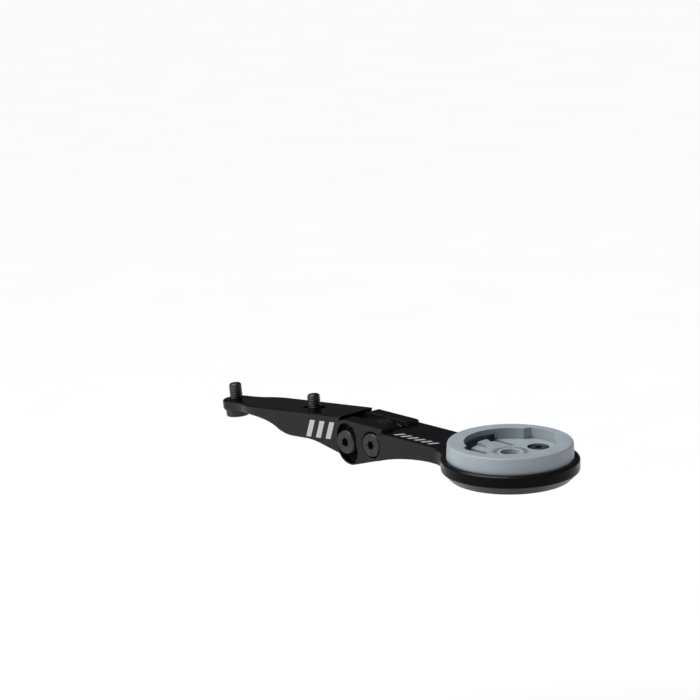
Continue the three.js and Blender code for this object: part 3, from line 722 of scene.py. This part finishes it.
def cup_blank():
    r = CUP_RADIUS
    c = 0.5
    low = CUP_BOTTOM_V
    cup = turned([(0, low), (r - CUP_BOTTOM_CHAMFER - 0.3, low), (r - CUP_BOTTOM_CHAMFER, low + 0.12),
                  (r - 0.1, CUP_BAND_BOTTOM_V), (r, CUP_BAND_BOTTOM_V + 0.25), (r, ARM_TOP_V - c),
                  (r - c, ARM_TOP_V), (0, ARM_TOP_V)], 160)
    cup.data.transform(Matrix.Translation((ARM_REACH, 0, 0)))
    return cup


def mark_turned_faces(obj):
    """Marks the cup's round outer wall, which is turned after the rest is blasted."""
    mesh = obj.data
    mark = mesh.attributes.new("turned_face", "FLOAT", "FACE")
    for poly in mesh.polygons:
        u, y, v = poly.center
        on_wall = abs(math.hypot(u - ARM_REACH, y) - CUP_RADIUS) < 0.15
        mark.data[poly.index].value = float(on_wall and CUP_BAND_BOTTOM_V < v < ARM_TOP_V)


def arm():
    half = EAR_SPAN / 2
    rear = -EAR_REACH - 3
    body = plate(arm_plan(), -14, ARM_TOP_V, top_chamfer=0.5)
    ears = plate([(rear, -half), (STEP_U, -half), (STEP_U, half), (rear, half)], -14, EAR_TOP_V, 0.45)
    join(body, ears)
    meet(body, side_plate(arm_side(), -30, 30))
    join(body, cup_blank())
    cut(body, post(CUP_POCKET_RADIUS, CUP_FLOOR_V, 20, ARM_REACH, 0, 160))
    cut(body, brick(-30, SLOT_FRONT_U, -SLOT_WIDTH / 2, SLOT_WIDTH / 2, -20, 20))
    for du, dy in insert_screw_spots():
        cut(body, post(INSERT_SCREW_DIA / 2 + 0.05, -10, 10, ARM_REACH + du, dy))
    rest = 180 + REST_TILT_DEG
    a0 = rest - TILT_UP_DEG - LOCK_SLOT_SPARE_DEG
    a1 = rest + TILT_DOWN_DEG + LOCK_SLOT_SPARE_DEG
    cut(body, arc_slot(SCREW_SPACING, HOLE_DIA, a0, a1, -10, 10))
    right = arc_slot(SCREW_SPACING, POCKET_WIDTH, a0, a1 + POCKET_OVERRUN_DEG, RIGHT_Y - 1, RIGHT_FLOOR_Y)
    cut(body, meet(right, rim_limit(RIGHT_Y - 2, RIGHT_FLOOR_Y + 1)))
    spread = SLIDER_HALF_ANGLE
    width = SLIDER_WIDTH + 2 * HEAD_CLEARANCE
    left = arc_slot(SCREW_SPACING, width, a0 - spread, a1 + spread, LEFT_FLOOR_Y, LEFT_Y + 1)
    cut(body, meet(left, rim_limit(LEFT_FLOOR_Y - 1, LEFT_Y + 2)))
    cut(body, cross_pin(HOLE_DIA / 2, -10, 10))
    head_room = BOLT_HEAD_DIA / 2 + HINGE_HEAD_CLEARANCE
    cut(body, cross_pin(head_room, RIGHT_Y - 1, HINGE_FLOOR_Y, steps=64))
    cut(body, side_plate(hexagon(PIVOT_NUT_AF + 0.1), LEFT_FLOOR_Y, LEFT_Y + 1))
    machined(body, 0.12)
    mark_turned_faces(body)
    return place(body, "arm_and_cup", IN_ARM, "tilting_arm", ANODISED, "black_anodised", "arm")


# ---------------------------------------------------------------- seat

def wedge(radius, a0, a1, z0, z1, steps=24):
    return plate([(0, 0)] + arc(0, 0, radius, a0, a1, steps), z0, z1)


def notch(side, z0, z1):
    """Entry notch for one of the computer's tabs, narrower at its back."""
    back = NOTCH_BACK_HALF_ANGLE
    inner = [Vector(arc(0, 0, SEAT_OPENING_RADIUS, side + a, side + a, 1)[0])
             for a in (-NOTCH_HALF_ANGLE, NOTCH_HALF_ANGLE)]
    outer = arc(0, 0, SEAT_GROOVE_RADIUS, side - back, side + back, 39)
    first = inner[0] + (inner[0] - Vector(outer[0])) * 0.3
    last = inner[1] + (inner[1] - Vector(outer[-1])) * 0.3
    return plate([(0, 0), tuple(first)] + outer + [tuple(last)], z0, z1)


def finger_window():
    """Opening in the floor that frees the finger, wider towards its tip."""
    root = FINGER_HALF + FINGER_SLIT
    tip = root + FINGER_SLIT_FLARE
    half = [(-FINGER_ROOT, root), (-FINGER_TIP, tip), (-INSERT_RADIUS, tip)]
    pts = half + [(x, -y) for x, y in reversed(half)]
    reach = post(SEAT_GROOVE_RADIUS - WINDOW_INSET, -21, 1, steps=144)
    return meet(plate(pts, -20, -SEAT_DEPTH + 0.5), reach)


def seat_insert():
    r = INSERT_RADIUS
    body = turned([(0, -INSERT_HEIGHT), (r + 0.1, -INSERT_HEIGHT), (r + 0.25, -INSERT_HEIGHT + 0.4),
                   (r + 0.15, -3), (r, -0.75), (r - 0.08, -0.42), (r - 0.3, -0.14), (r - 0.65, -0.02),
                   (r - 0.9, 0), (0, 0)], 160)
    cut(body, post(SEAT_OPENING_RADIUS, -SEAT_DEPTH, 1, steps=144))
    for side in (90, 270):
        cut(body, notch(side, -SEAT_DEPTH, 1))
        groove = wedge(SEAT_GROOVE_RADIUS, side - 90 - STOP_ANGLE, side - NOTCH_BACK_HALF_ANGLE,
                       -SEAT_DEPTH, -SEAT_LIP_THICK, 98)
        cut(body, groove)
    cut(body, finger_window())
    cut(body, post(CENTRE_HOLE_DIA / 2, -SEAT_DEPTH - CENTRE_HOLE_DEPTH, 5, steps=64))
    for du, dy in insert_screw_spots():
        cut(body, post(INSERT_SCREW_DIA / 2 + 0.1, -20, 5, du, dy))
        floor = -SEAT_DEPTH - INSERT_SCREW_WELL_DEPTH
        well = post(INSERT_SCREW_WELL_DIA / 2, floor, 0, du, dy, 64)
        cut(body, meet(well, post(SEAT_OPENING_RADIUS, -20, 20, steps=144)))
    machined(body, 0.08)
    return place(body, "quarter_turn_seat", IN_SEAT, "tilting_arm", PLASTIC, "grey_plastic", "insert")


def detent_finger():
    z1 = -SEAT_DEPTH
    z0 = z1 - FINGER_SHEET
    body = brick(-FINGER_TIP, -FINGER_ROOT - FINGER_ROOT_GAP, -FINGER_HALF, FINGER_HALF, z0, z1)
    meet(body, post(FINGER_TIP, z0 - 1, z1 + 1, steps=144))
    u0 = -FINGER_TIP + 0.45
    length = BUMP_SHARE * (FINGER_TIP - FINGER_ROOT)
    top = z1 + BUMP_HEIGHT
    pts = [(u0, z1 - 0.4), (u0 + length, z1 - 0.4), (u0 + length, z1), (u0 + 1.5, top - 0.1)]
    curve_to(pts, (u0 + 1.1, top), (u0 + 0.6, top), 5)
    curve_to(pts, (u0 + 0.2, top), (u0, top - 0.5), 5)
    join(body, side_plate(pts, -BUMP_WIDTH / 2, BUMP_WIDTH / 2))
    machined(body, 0.06)
    return place(body, "click_finger", IN_SEAT, "detent", PLASTIC, "grey_plastic", "detent_tongue")


# ---------------------------------------------------------------- screws, nuts and washers

def star_outline(key):
    """Six-lobed socket."""
    pts = []
    for i in range(72):
        a = 2 * math.pi * i / 72
        r = key / 2 * (0.87 + 0.13 * math.cos(6 * a))
        pts.append((r * math.cos(a), r * math.sin(a)))
    return pts


def screw_solid(dia, head_dia, head_height, length, socket, socket_depth):
    """Screw along +Z with the top of its head at z = 0."""
    head = head_dia / 2
    core = dia / 2 - 0.18
    profile = [(0, 0), (head - 0.55, 0), (head - 0.2, 0.1), (head, 0.42), (head, head_height - 0.12),
               (head - 0.12, head_height), (dia / 2 + 0.15, head_height), (dia / 2, head_height + 0.2),
               (dia / 2, head_height + 0.8), (core, head_height + 1.0), (core, length - 0.45),
               (core - 0.35, length), (0, length)]
    body = turned(profile, 72)
    cut(body, plate(socket, -1, socket_depth))
    machined(body, 0.06)
    return body


def thread_tree():
    """Helical thread ridge: a triangular section carried along a helix."""
    tree = bpy.data.node_groups.new("thread_ridge", "GeometryNodeTree")
    face = tree.interface
    face.new_socket("Geometry", in_out="OUTPUT", socket_type="NodeSocketGeometry")
    for name in ("Core radius", "Pitch", "Length", "Ridge"):
        face.new_socket(name, in_out="INPUT", socket_type="NodeSocketFloat")
    face.new_socket("Finish", in_out="INPUT", socket_type="NodeSocketMaterial")
    nodes, links = tree.nodes, tree.links
    given = nodes.new("NodeGroupInput")
    result = nodes.new("NodeGroupOutput")
    turns = nodes.new("ShaderNodeMath")
    turns.operation = "DIVIDE"
    links.new(given.outputs["Length"], turns.inputs[0])
    links.new(given.outputs["Pitch"], turns.inputs[1])
    helix = nodes.new("GeometryNodeCurveSpiral")
    helix.inputs["Resolution"].default_value = 40
    links.new(turns.outputs[0], helix.inputs["Rotations"])
    links.new(given.outputs["Core radius"], helix.inputs["Start Radius"])
    links.new(given.outputs["Core radius"], helix.inputs["End Radius"])
    links.new(given.outputs["Length"], helix.inputs["Height"])
    section = nodes.new("GeometryNodeCurvePrimitiveCircle")
    section.inputs["Resolution"].default_value = 6
    links.new(given.outputs["Ridge"], section.inputs["Radius"])
    sweep = nodes.new("GeometryNodeCurveToMesh")
    sweep.inputs["Fill Caps"].default_value = True
    links.new(helix.outputs["Curve"], sweep.inputs["Curve"])
    links.new(section.outputs["Curve"], sweep.inputs["Profile Curve"])
    finish_tree(tree, sweep.outputs["Mesh"], given, result)
    return tree


def finish_tree(tree, geometry, given, result):
    """Every tree ends in real geometry that carries its finish."""
    real = tree.nodes.new("GeometryNodeRealizeInstances")
    paint = tree.nodes.new("GeometryNodeSetMaterial")
    tree.links.new(geometry, real.inputs["Geometry"])
    tree.links.new(real.outputs["Geometry"], paint.inputs["Geometry"])
    tree.links.new(given.outputs["Finish"], paint.inputs["Material"])
    tree.links.new(paint.outputs["Geometry"], result.inputs["Geometry"])


def grow(tree, name, **values):
    """Runs a tree once and keeps its result as a plain mesh object."""
    obj = mesh_object(name, bmesh.new())
    mod = obj.modifiers.new("grow", "NODES")
    mod.node_group = tree
    for item in tree.interface.items_tree:
        if item.in_out == "INPUT" and item.name.replace(" ", "_") in values:
            mod[item.identifier] = values[item.name.replace(" ", "_")]
    evaluated_mesh(obj)
    return obj


def merge(obj, *others):
    """Adds other objects' meshes to a piece without changing them."""
    bm = bmesh.new()
    bm.from_mesh(obj.data)
    for other in others:
        bm.from_mesh(other.data)
        mesh = other.data
        bpy.data.objects.remove(other)
        bpy.data.meshes.remove(mesh)
    bm.to_mesh(obj.data)
    bm.free()
    return obj


THREAD = thread_tree()


def threaded(screw, dia, start, end, pitch=0.7):
    ridge = grow(THREAD, "ridge", Core_radius=dia / 2 - 0.2, Pitch=pitch, Length=end - start - 0.7,
                 Ridge=0.19, Finish=BLACK_STEEL)
    ridge.data.transform(Matrix.Translation((0, 0, start + 0.2)))
    return merge(screw, ridge)


DOWN_FROM_ABOVE = Matrix.Rotation(math.pi, 4, "X")
INWARD_FROM_RIGHT = Matrix.Rotation(math.radians(-90), 4, "X")


def bar_bolt(name, x, land, node):
    seat = land - BAR_WASHER_THICK - CONTACT_GAP
    length = BAR_BOLT_HEAD_HEIGHT + BAR_BOLT_LENGTH
    screw = screw_solid(BOLT_DIA, BOLT_HEAD_DIA, BAR_BOLT_HEAD_HEIGHT, length, hexagon(HEX_KEY), 1.4)
    threaded(screw, BOLT_DIA, BAR_BOLT_HEAD_HEIGHT + 1.0, length)
    where = Matrix.Translation((x, 0, seat - BAR_BOLT_HEAD_HEIGHT))
    return place(screw, name, where, "base", BLACK_STEEL, "black_steel", node)


def ring_solid(r_in, r_out, z0, z1):
    c = min(0.08, (z1 - z0) * 0.3)
    body = turned([(0, z0), (r_out - c, z0), (r_out, z0 + c), (r_out, z1 - c), (r_out - c, z1), (0, z1)], 72)
    cut(body, post(r_in, z0 - 1, z1 + 1, steps=64))
    return machined(body, 0.03)


def bar_washer(name, x, land, node):
    body = ring_solid(BOLT_DIA / 2 + 0.1, BAR_WASHER_DIA / 2, 0, BAR_WASHER_THICK)
    where = Matrix.Translation((x, 0, land - BAR_WASHER_THICK - CONTACT_GAP / 2))
    return place(body, name, where, "base", BLACK_STEEL, "black_steel", node)


def lock_screw():
    y0 = RIGHT_FLOOR_Y - CONTACT_GAP - LOCK_WASHER_THICK - BOLT_HEAD_HEIGHT
    length = LEFT_FLOOR_Y + SLIDER_THICK - 0.3 - y0
    screw = screw_solid(BOLT_DIA, BOLT_HEAD_DIA, BOLT_HEAD_HEIGHT, length, hexagon(HEX_KEY, 20), 1.5)
    threaded(screw, BOLT_DIA, length - 6.5, length)
    where = Matrix.Translation((PIVOT_X - SCREW_SPACING, y0, PIVOT_Z)) @ INWARD_FROM_RIGHT
    return place(screw, "tilt_lock_screw", where, "base", BLACK_STEEL, "black_steel", "lock_screw")


def lock_washer():
    body = ring_solid(BOLT_DIA / 2 + 0.1, BOLT_HEAD_DIA / 2 - 0.05, 0, LOCK_WASHER_THICK)
    y = RIGHT_FLOOR_Y - CONTACT_GAP / 2 - LOCK_WASHER_THICK
    where = Matrix.Translation((PIVOT_X - SCREW_SPACING, y, PIVOT_Z)) @ INWARD_FROM_RIGHT
    return place(body, "tilt_lock_washer", where, "base", BLACK_STEEL, "black_steel", "lock_washer")


def lock_slider():
    y0 = LEFT_FLOOR_Y + CONTACT_GAP
    y1 = y0 + SLIDER_THICK
    body = arc_slot(SCREW_SPACING, SLIDER_WIDTH, 180 - SLIDER_HALF_ANGLE, 180 + SLIDER_HALF_ANGLE, y0, y1)
    cut(body, cross_pin(BOLT_DIA / 2 + 0.03, y0 - 1, y1 + 1, -SCREW_SPACING, 0))
    machined(body, 0.15)
    where = Matrix.Translation(PIVOT)
    return place(body, "slider_nut", where, "base", BLACK_STEEL, "black_steel", "lock_slider_nut")


def pivot_screw():
    y0 = HINGE_FLOOR_Y - CONTACT_GAP - BOLT_HEAD_HEIGHT
    length = LEFT_FLOOR_Y + PIVOT_NUT_THICK - y0
    screw = screw_solid(BOLT_DIA, BOLT_HEAD_DIA, BOLT_HEAD_HEIGHT, length, star_outline(2.9), 1.5)
    threaded(screw, BOLT_DIA, length - 4.5, length)
    where = IN_ARM @ Matrix.Translation((0, y0, 0)) @ INWARD_FROM_RIGHT
    return place(screw, "hinge_screw", where, "tilting_arm", BLACK_STEEL, "black_steel", "pivot_screw")


def pivot_nut():
    y0 = LEFT_FLOOR_Y + CONTACT_GAP
    body = side_plate(hexagon(PIVOT_NUT_AF), y0, y0 + PIVOT_NUT_THICK)
    dome = turned([(0, -8), (2.6, -8), (5.4, 0.45), (5.4, PIVOT_NUT_THICK - 0.45),
                   (2.6, PIVOT_NUT_THICK + 8), (0, PIVOT_NUT_THICK + 8)], 72)
    dome.data.transform(Matrix.Translation((0, y0, 0)) @ INWARD_FROM_RIGHT)
    meet(body, dome)
    cut(body, cross_pin(BOLT_DIA / 2 + 0.03, y0 - 1, y0 + 6))
    machined(body, 0.06)
    return place(body, "hinge_nut", IN_ARM, "tilting_arm", BLACK_STEEL, "black_steel", "pivot_nut")


def pivot_sleeve():
    half = SLOT_WIDTH / 2 - CONTACT_GAP
    body = ring_solid(BOLT_DIA / 2 + 0.05, SLEEVE_DIA / 2, -half, half)
    where = IN_ARM @ INWARD_FROM_RIGHT
    return place(body, "hinge_bush", where, "tilting_arm", BRIGHT_STEEL, "bright_steel", "pivot_sleeve")


def friction_washer(name, side, node):
    inner = TONGUE_THICK / 2 + SIDE_PLAY / 2
    body = ring_solid(SLEEVE_DIA / 2 + 0.1, NOSE_RADIUS - 0.1, inner, inner + FRICTION_WASHER_THICK)
    turn = INWARD_FROM_RIGHT if side > 0 else Matrix.Rotation(math.radians(90), 4, "X")
    return place(body, name, IN_ARM @ turn, "tilting_arm", NYLON, "nylon", node)


def insert_screw(name, spot, node):
    seat = -SEAT_DEPTH - INSERT_SCREW_WELL_DEPTH + CONTACT_GAP
    head = INSERT_SCREW_HEAD_HEIGHT
    bottom = CUP_BOTTOM_V - RING_TOP_V + 0.6
    length = seat + head - bottom
    screw = screw_solid(INSERT_SCREW_DIA, INSERT_SCREW_HEAD_DIA, head, length, hexagon(2.0, 12), 0.8)
    threaded(screw, INSERT_SCREW_DIA, head + 1.2, length, 0.5)
    where = IN_SEAT @ Matrix.Translation((*spot, seat + head)) @ DOWN_FROM_ABOVE
    return place(screw, name, where, "tilting_arm", BLACK_STEEL, "black_steel", node)


# ---------------------------------------------------------------- printed marks

def socketed_tree(name, floats=(), ints=()):
    tree = bpy.data.node_groups.new(name, "GeometryNodeTree")
    face = tree.interface
    face.new_socket("Geometry", in_out="OUTPUT", socket_type="NodeSocketGeometry")
    for key in floats:
        face.new_socket(key, in_out="INPUT", socket_type="NodeSocketFloat")
    for key in ints:
        face.new_socket(key, in_out="INPUT", socket_type="NodeSocketInt")
    face.new_socket("Finish", in_out="INPUT", socket_type="NodeSocketMaterial")
    return tree, tree.nodes.new("NodeGroupInput"), tree.nodes.new("NodeGroupOutput")


def node_maths(tree, how, a, b):
    node = tree.nodes.new("ShaderNodeMath")
    node.operation = how
    for socket, value in zip(node.inputs, (a, b)):
        if isinstance(value, (int, float)):
            socket.default_value = value
        else:
            tree.links.new(value, socket)
    return node.outputs[0]


def node_vector(tree, *parts):
    node = tree.nodes.new("ShaderNodeCombineXYZ")
    for socket, value in zip(node.inputs, parts):
        if isinstance(value, (int, float)):
            socket.default_value = value
        else:
            tree.links.new(value, socket)
    return node.outputs[0]


def stripe_tree():
    """A row of equal stripes, each leaning over by the same amount."""
    tree, given, result = socketed_tree(
        "stripe_row", ("Width", "Height", "Thickness", "Lean", "Spacing"), ("Count",))
    take = given.outputs
    row = tree.nodes.new("GeometryNodeMeshLine")
    tree.links.new(take["Count"], row.inputs["Count"])
    tree.links.new(node_vector(tree, take["Spacing"], 0, 0), row.inputs["Offset"])
    bar = tree.nodes.new("GeometryNodeMeshCube")
    tree.links.new(node_vector(tree, take["Width"], take["Height"], take["Thickness"]), bar.inputs["Size"])
    where = tree.nodes.new("GeometryNodeInputPosition")
    split = tree.nodes.new("ShaderNodeSeparateXYZ")
    tree.links.new(where.outputs[0], split.inputs[0])
    lean = node_maths(tree, "MULTIPLY", split.outputs[1], take["Lean"])
    shift = tree.nodes.new("GeometryNodeSetPosition")
    tree.links.new(bar.outputs["Mesh"], shift.inputs["Geometry"])
    tree.links.new(node_vector(tree, lean, 0, 0), shift.inputs["Offset"])
    copies = tree.nodes.new("GeometryNodeInstanceOnPoints")
    tree.links.new(row.outputs["Mesh"], copies.inputs["Points"])
    tree.links.new(shift.outputs["Geometry"], copies.inputs["Instance"])
    finish_tree(tree, copies.outputs["Instances"], given, result)
    return tree


def ring_tree():
    """Equal ticks set round a circle, each pointing at its middle."""
    tree, given, result = socketed_tree("tick_ring", ("Radius", "Tick length", "Tick width", "Thickness"),
                                        ("Count",))
    take = given.outputs
    circle = tree.nodes.new("GeometryNodeMeshCircle")
    tree.links.new(take["Count"], circle.inputs["Vertices"])
    tree.links.new(take["Radius"], circle.inputs["Radius"])
    tick = tree.nodes.new("GeometryNodeMeshCube")
    tree.links.new(node_vector(tree, take["Tick length"], take["Tick width"], take["Thickness"]),
                   tick.inputs["Size"])
    index = tree.nodes.new("GeometryNodeInputIndex")
    step = node_maths(tree, "DIVIDE", 2 * math.pi, take["Count"])
    turn = node_maths(tree, "MULTIPLY", index.outputs[0], step)
    copies = tree.nodes.new("GeometryNodeInstanceOnPoints")
    tree.links.new(circle.outputs["Mesh"], copies.inputs["Points"])
    tree.links.new(tick.outputs["Mesh"], copies.inputs["Instance"])
    tree.links.new(node_vector(tree, 0, 0, turn), copies.inputs["Rotation"])
    finish_tree(tree, copies.outputs["Instances"], given, result)
    return tree


PRINT_THICK = 0.06
BAR_COUNT = 3
BAR_SPACING = 4.2
FIRST_BAR = (12.9, -BASE_WIDTH / 2, -4.6)
DASH_COUNT = 6
DASH_SPACING = 2.75
FIRST_DASH = (9.0, -5.1, ARM_TOP_V)
TICK_COUNT = 30
TICK_RING_RADIUS = 4.5
TICK_THICK = 0.16
TICK_RISE = 0.03

STRIPES = stripe_tree()
TICKS = ring_tree()


def side_stripes():
    """Three leaning bars printed on the bracket's right side."""
    bars = grow(STRIPES, "bars", Width=2.1, Height=5.2, Thickness=PRINT_THICK, Lean=0.45,
                Spacing=BAR_SPACING, Count=BAR_COUNT, Finish=INK)
    where = Matrix.Translation(FIRST_BAR) @ Matrix.Rotation(math.radians(90), 4, "X")
    return place(bars, "side_bars", where, "base", INK, "grey_plastic")


def arm_dashes():
    """A row of leaning dashes printed along the arm's top."""
    dashes = grow(STRIPES, "dashes", Width=1.15, Height=2.6, Thickness=PRINT_THICK, Lean=0.6,
                  Spacing=DASH_SPACING, Count=DASH_COUNT, Finish=INK)
    where = IN_ARM @ Matrix.Translation(FIRST_DASH)
    return place(dashes, "arm_dashes", where, "tilting_arm", INK, "grey_plastic")


def seat_ticks():
    """Raised ticks moulded round the seat's middle hole, drawn in darker grey as painted shade."""
    ring = grow(TICKS, "ring", Radius=TICK_RING_RADIUS, Tick_length=1.3, Tick_width=0.2,
                Thickness=TICK_THICK, Count=TICK_COUNT, Finish=MARK)
    where = IN_SEAT @ Matrix.Translation((0, 0, -SEAT_DEPTH + TICK_RISE))
    return place(ring, "seat_ticks", where, "tilting_arm", MARK, "grey_plastic")


# ---------------------------------------------------------------- build

def build():
    base_bracket()
    bar_bolt("rear_clamp_bolt", REAR_LUG_X, -REAR_PAD_THICK, "rear_bar_bolt")
    bar_washer("rear_clamp_washer", REAR_LUG_X, -REAR_PAD_THICK, "rear_bar_washer")
    bar_bolt("front_clamp_bolt", FRONT_BOLT_X, FRONT_LAND_Z, "front_bar_bolt")
    bar_washer("front_clamp_washer", FRONT_BOLT_X, FRONT_LAND_Z, "front_bar_washer")
    lock_screw()
    lock_washer()
    lock_slider()
    arm()
    pivot_screw()
    pivot_nut()
    pivot_sleeve()
    friction_washer("hinge_shim_right", -1, "friction_washer_right")
    friction_washer("hinge_shim_left", 1, "friction_washer_left")
    seat_insert()
    detent_finger()
    left, right = insert_screw_spots()
    insert_screw("seat_screw_left", left, "insert_screw_left")
    insert_screw("seat_screw_right", right, "insert_screw_right")
    side_stripes()
    arm_dashes()
    seat_ticks()


# ---------------------------------------------------------------- stage

FLOOR_Z = -0.12
FLOOR_RADIUS = 5.0
PALE = (0.88, 0.88, 0.88)
SUN_POWER = 3.6
LEFT_WATTS = 2.5
ROOM_LIGHT = 0.08


def pale_floor():
    """Plain pale floor, wide enough to fill the view."""
    m = Recipe("pale_paper")
    soft = m.noise(60.0, 3.0, 0.5)
    m.colour(m.mix(m.spread(soft, 0.3, 0.7, 0, 1), (0.865, 0.865, 0.868), PALE))
    m.set(Roughness=0.95, Specular_IOR_Level=0.0)
    bm = bmesh.new()
    bm.faces.new([bm.verts.new((x, y, FLOOR_Z)) for x, y in arc(0, 0, FLOOR_RADIUS, 0, 360, 96)[:-1]])
    floor = mesh_object("pale_floor", bm)
    floor.data.materials.append(m.material)


EYE = Vector((0.757679, -0.684097, 0.204359))
FORWARD = Vector((-0.71829, 0.67146, -0.18221)).normalized()
RIGHT = Vector((0.69240, 0.71552, -0.09279)).normalized()
UP = RIGHT.cross(FORWARD).normalized()
LENS_MM = 177.43
MIDDLE = Vector((0.05, 0, 0))


def from_camera(right, up, back):
    """A direction in metres to the right of, above and back from the object, as the camera sees it."""
    return RIGHT * right + Vector((0, 0, 1)) * up - FORWARD * back


def aimed_light(name, kind, offset, strength):
    data = bpy.data.lights.new(name, kind)
    data.energy = strength
    lamp = bpy.data.objects.new(name, data)
    bpy.context.scene.collection.objects.link(lamp)
    lamp.location = MIDDLE + offset
    lamp.rotation_euler = (-offset).to_track_quat("-Z", "Y").to_euler()
    return data


def soft_panel(name, offset, size, watts):
    data = aimed_light(name, "AREA", offset, watts)
    data.shape = "RECTANGLE"
    data.size, data.size_y = size


def studio():
    high = aimed_light("high_soft_light", "SUN", from_camera(-0.5, 1.0, 0.25), SUN_POWER)
    high.angle = math.radians(50)
    soft_panel("left_panel", from_camera(-0.95, 0.2, 0.15), (0.6, 0.7), LEFT_WATTS)
    world = bpy.data.worlds.new("pale_room")
    world.use_nodes = True
    tree = world.node_tree
    seen = tree.nodes["Background"]
    seen.inputs["Color"].default_value = (0.97, 0.97, 0.97, 1)
    dim = tree.nodes.new("ShaderNodeBackground")
    dim.inputs["Color"].default_value = (0.9, 0.95, 1.0, 1)
    dim.inputs["Strength"].default_value = ROOM_LIGHT
    pick = tree.nodes.new("ShaderNodeMixShader")
    ray = tree.nodes.new("ShaderNodeLightPath")
    tree.links.new(ray.outputs["Is Camera Ray"], pick.inputs[0])
    tree.links.new(dim.outputs[0], pick.inputs[1])
    tree.links.new(seen.outputs[0], pick.inputs[2])
    tree.links.new(pick.outputs[0], tree.nodes["World Output"].inputs["Surface"])
    scene = bpy.context.scene
    scene.world = world
    scene.view_settings.view_transform = "Standard"


def camera():
    data = bpy.data.cameras.new("camera")
    data.lens = LENS_MM
    data.sensor_width = 36
    data.clip_start = 0.02
    data.clip_end = 20
    data.dof.use_dof = False
    eye = bpy.data.objects.new("camera", data)
    bpy.context.scene.collection.objects.link(eye)
    turn = Matrix((RIGHT, UP, -FORWARD)).transposed().to_4x4()
    eye.matrix_world = Matrix.Translation(EYE) @ turn
    bpy.context.scene.camera = eye


build()
pale_floor()
studio()
camera()
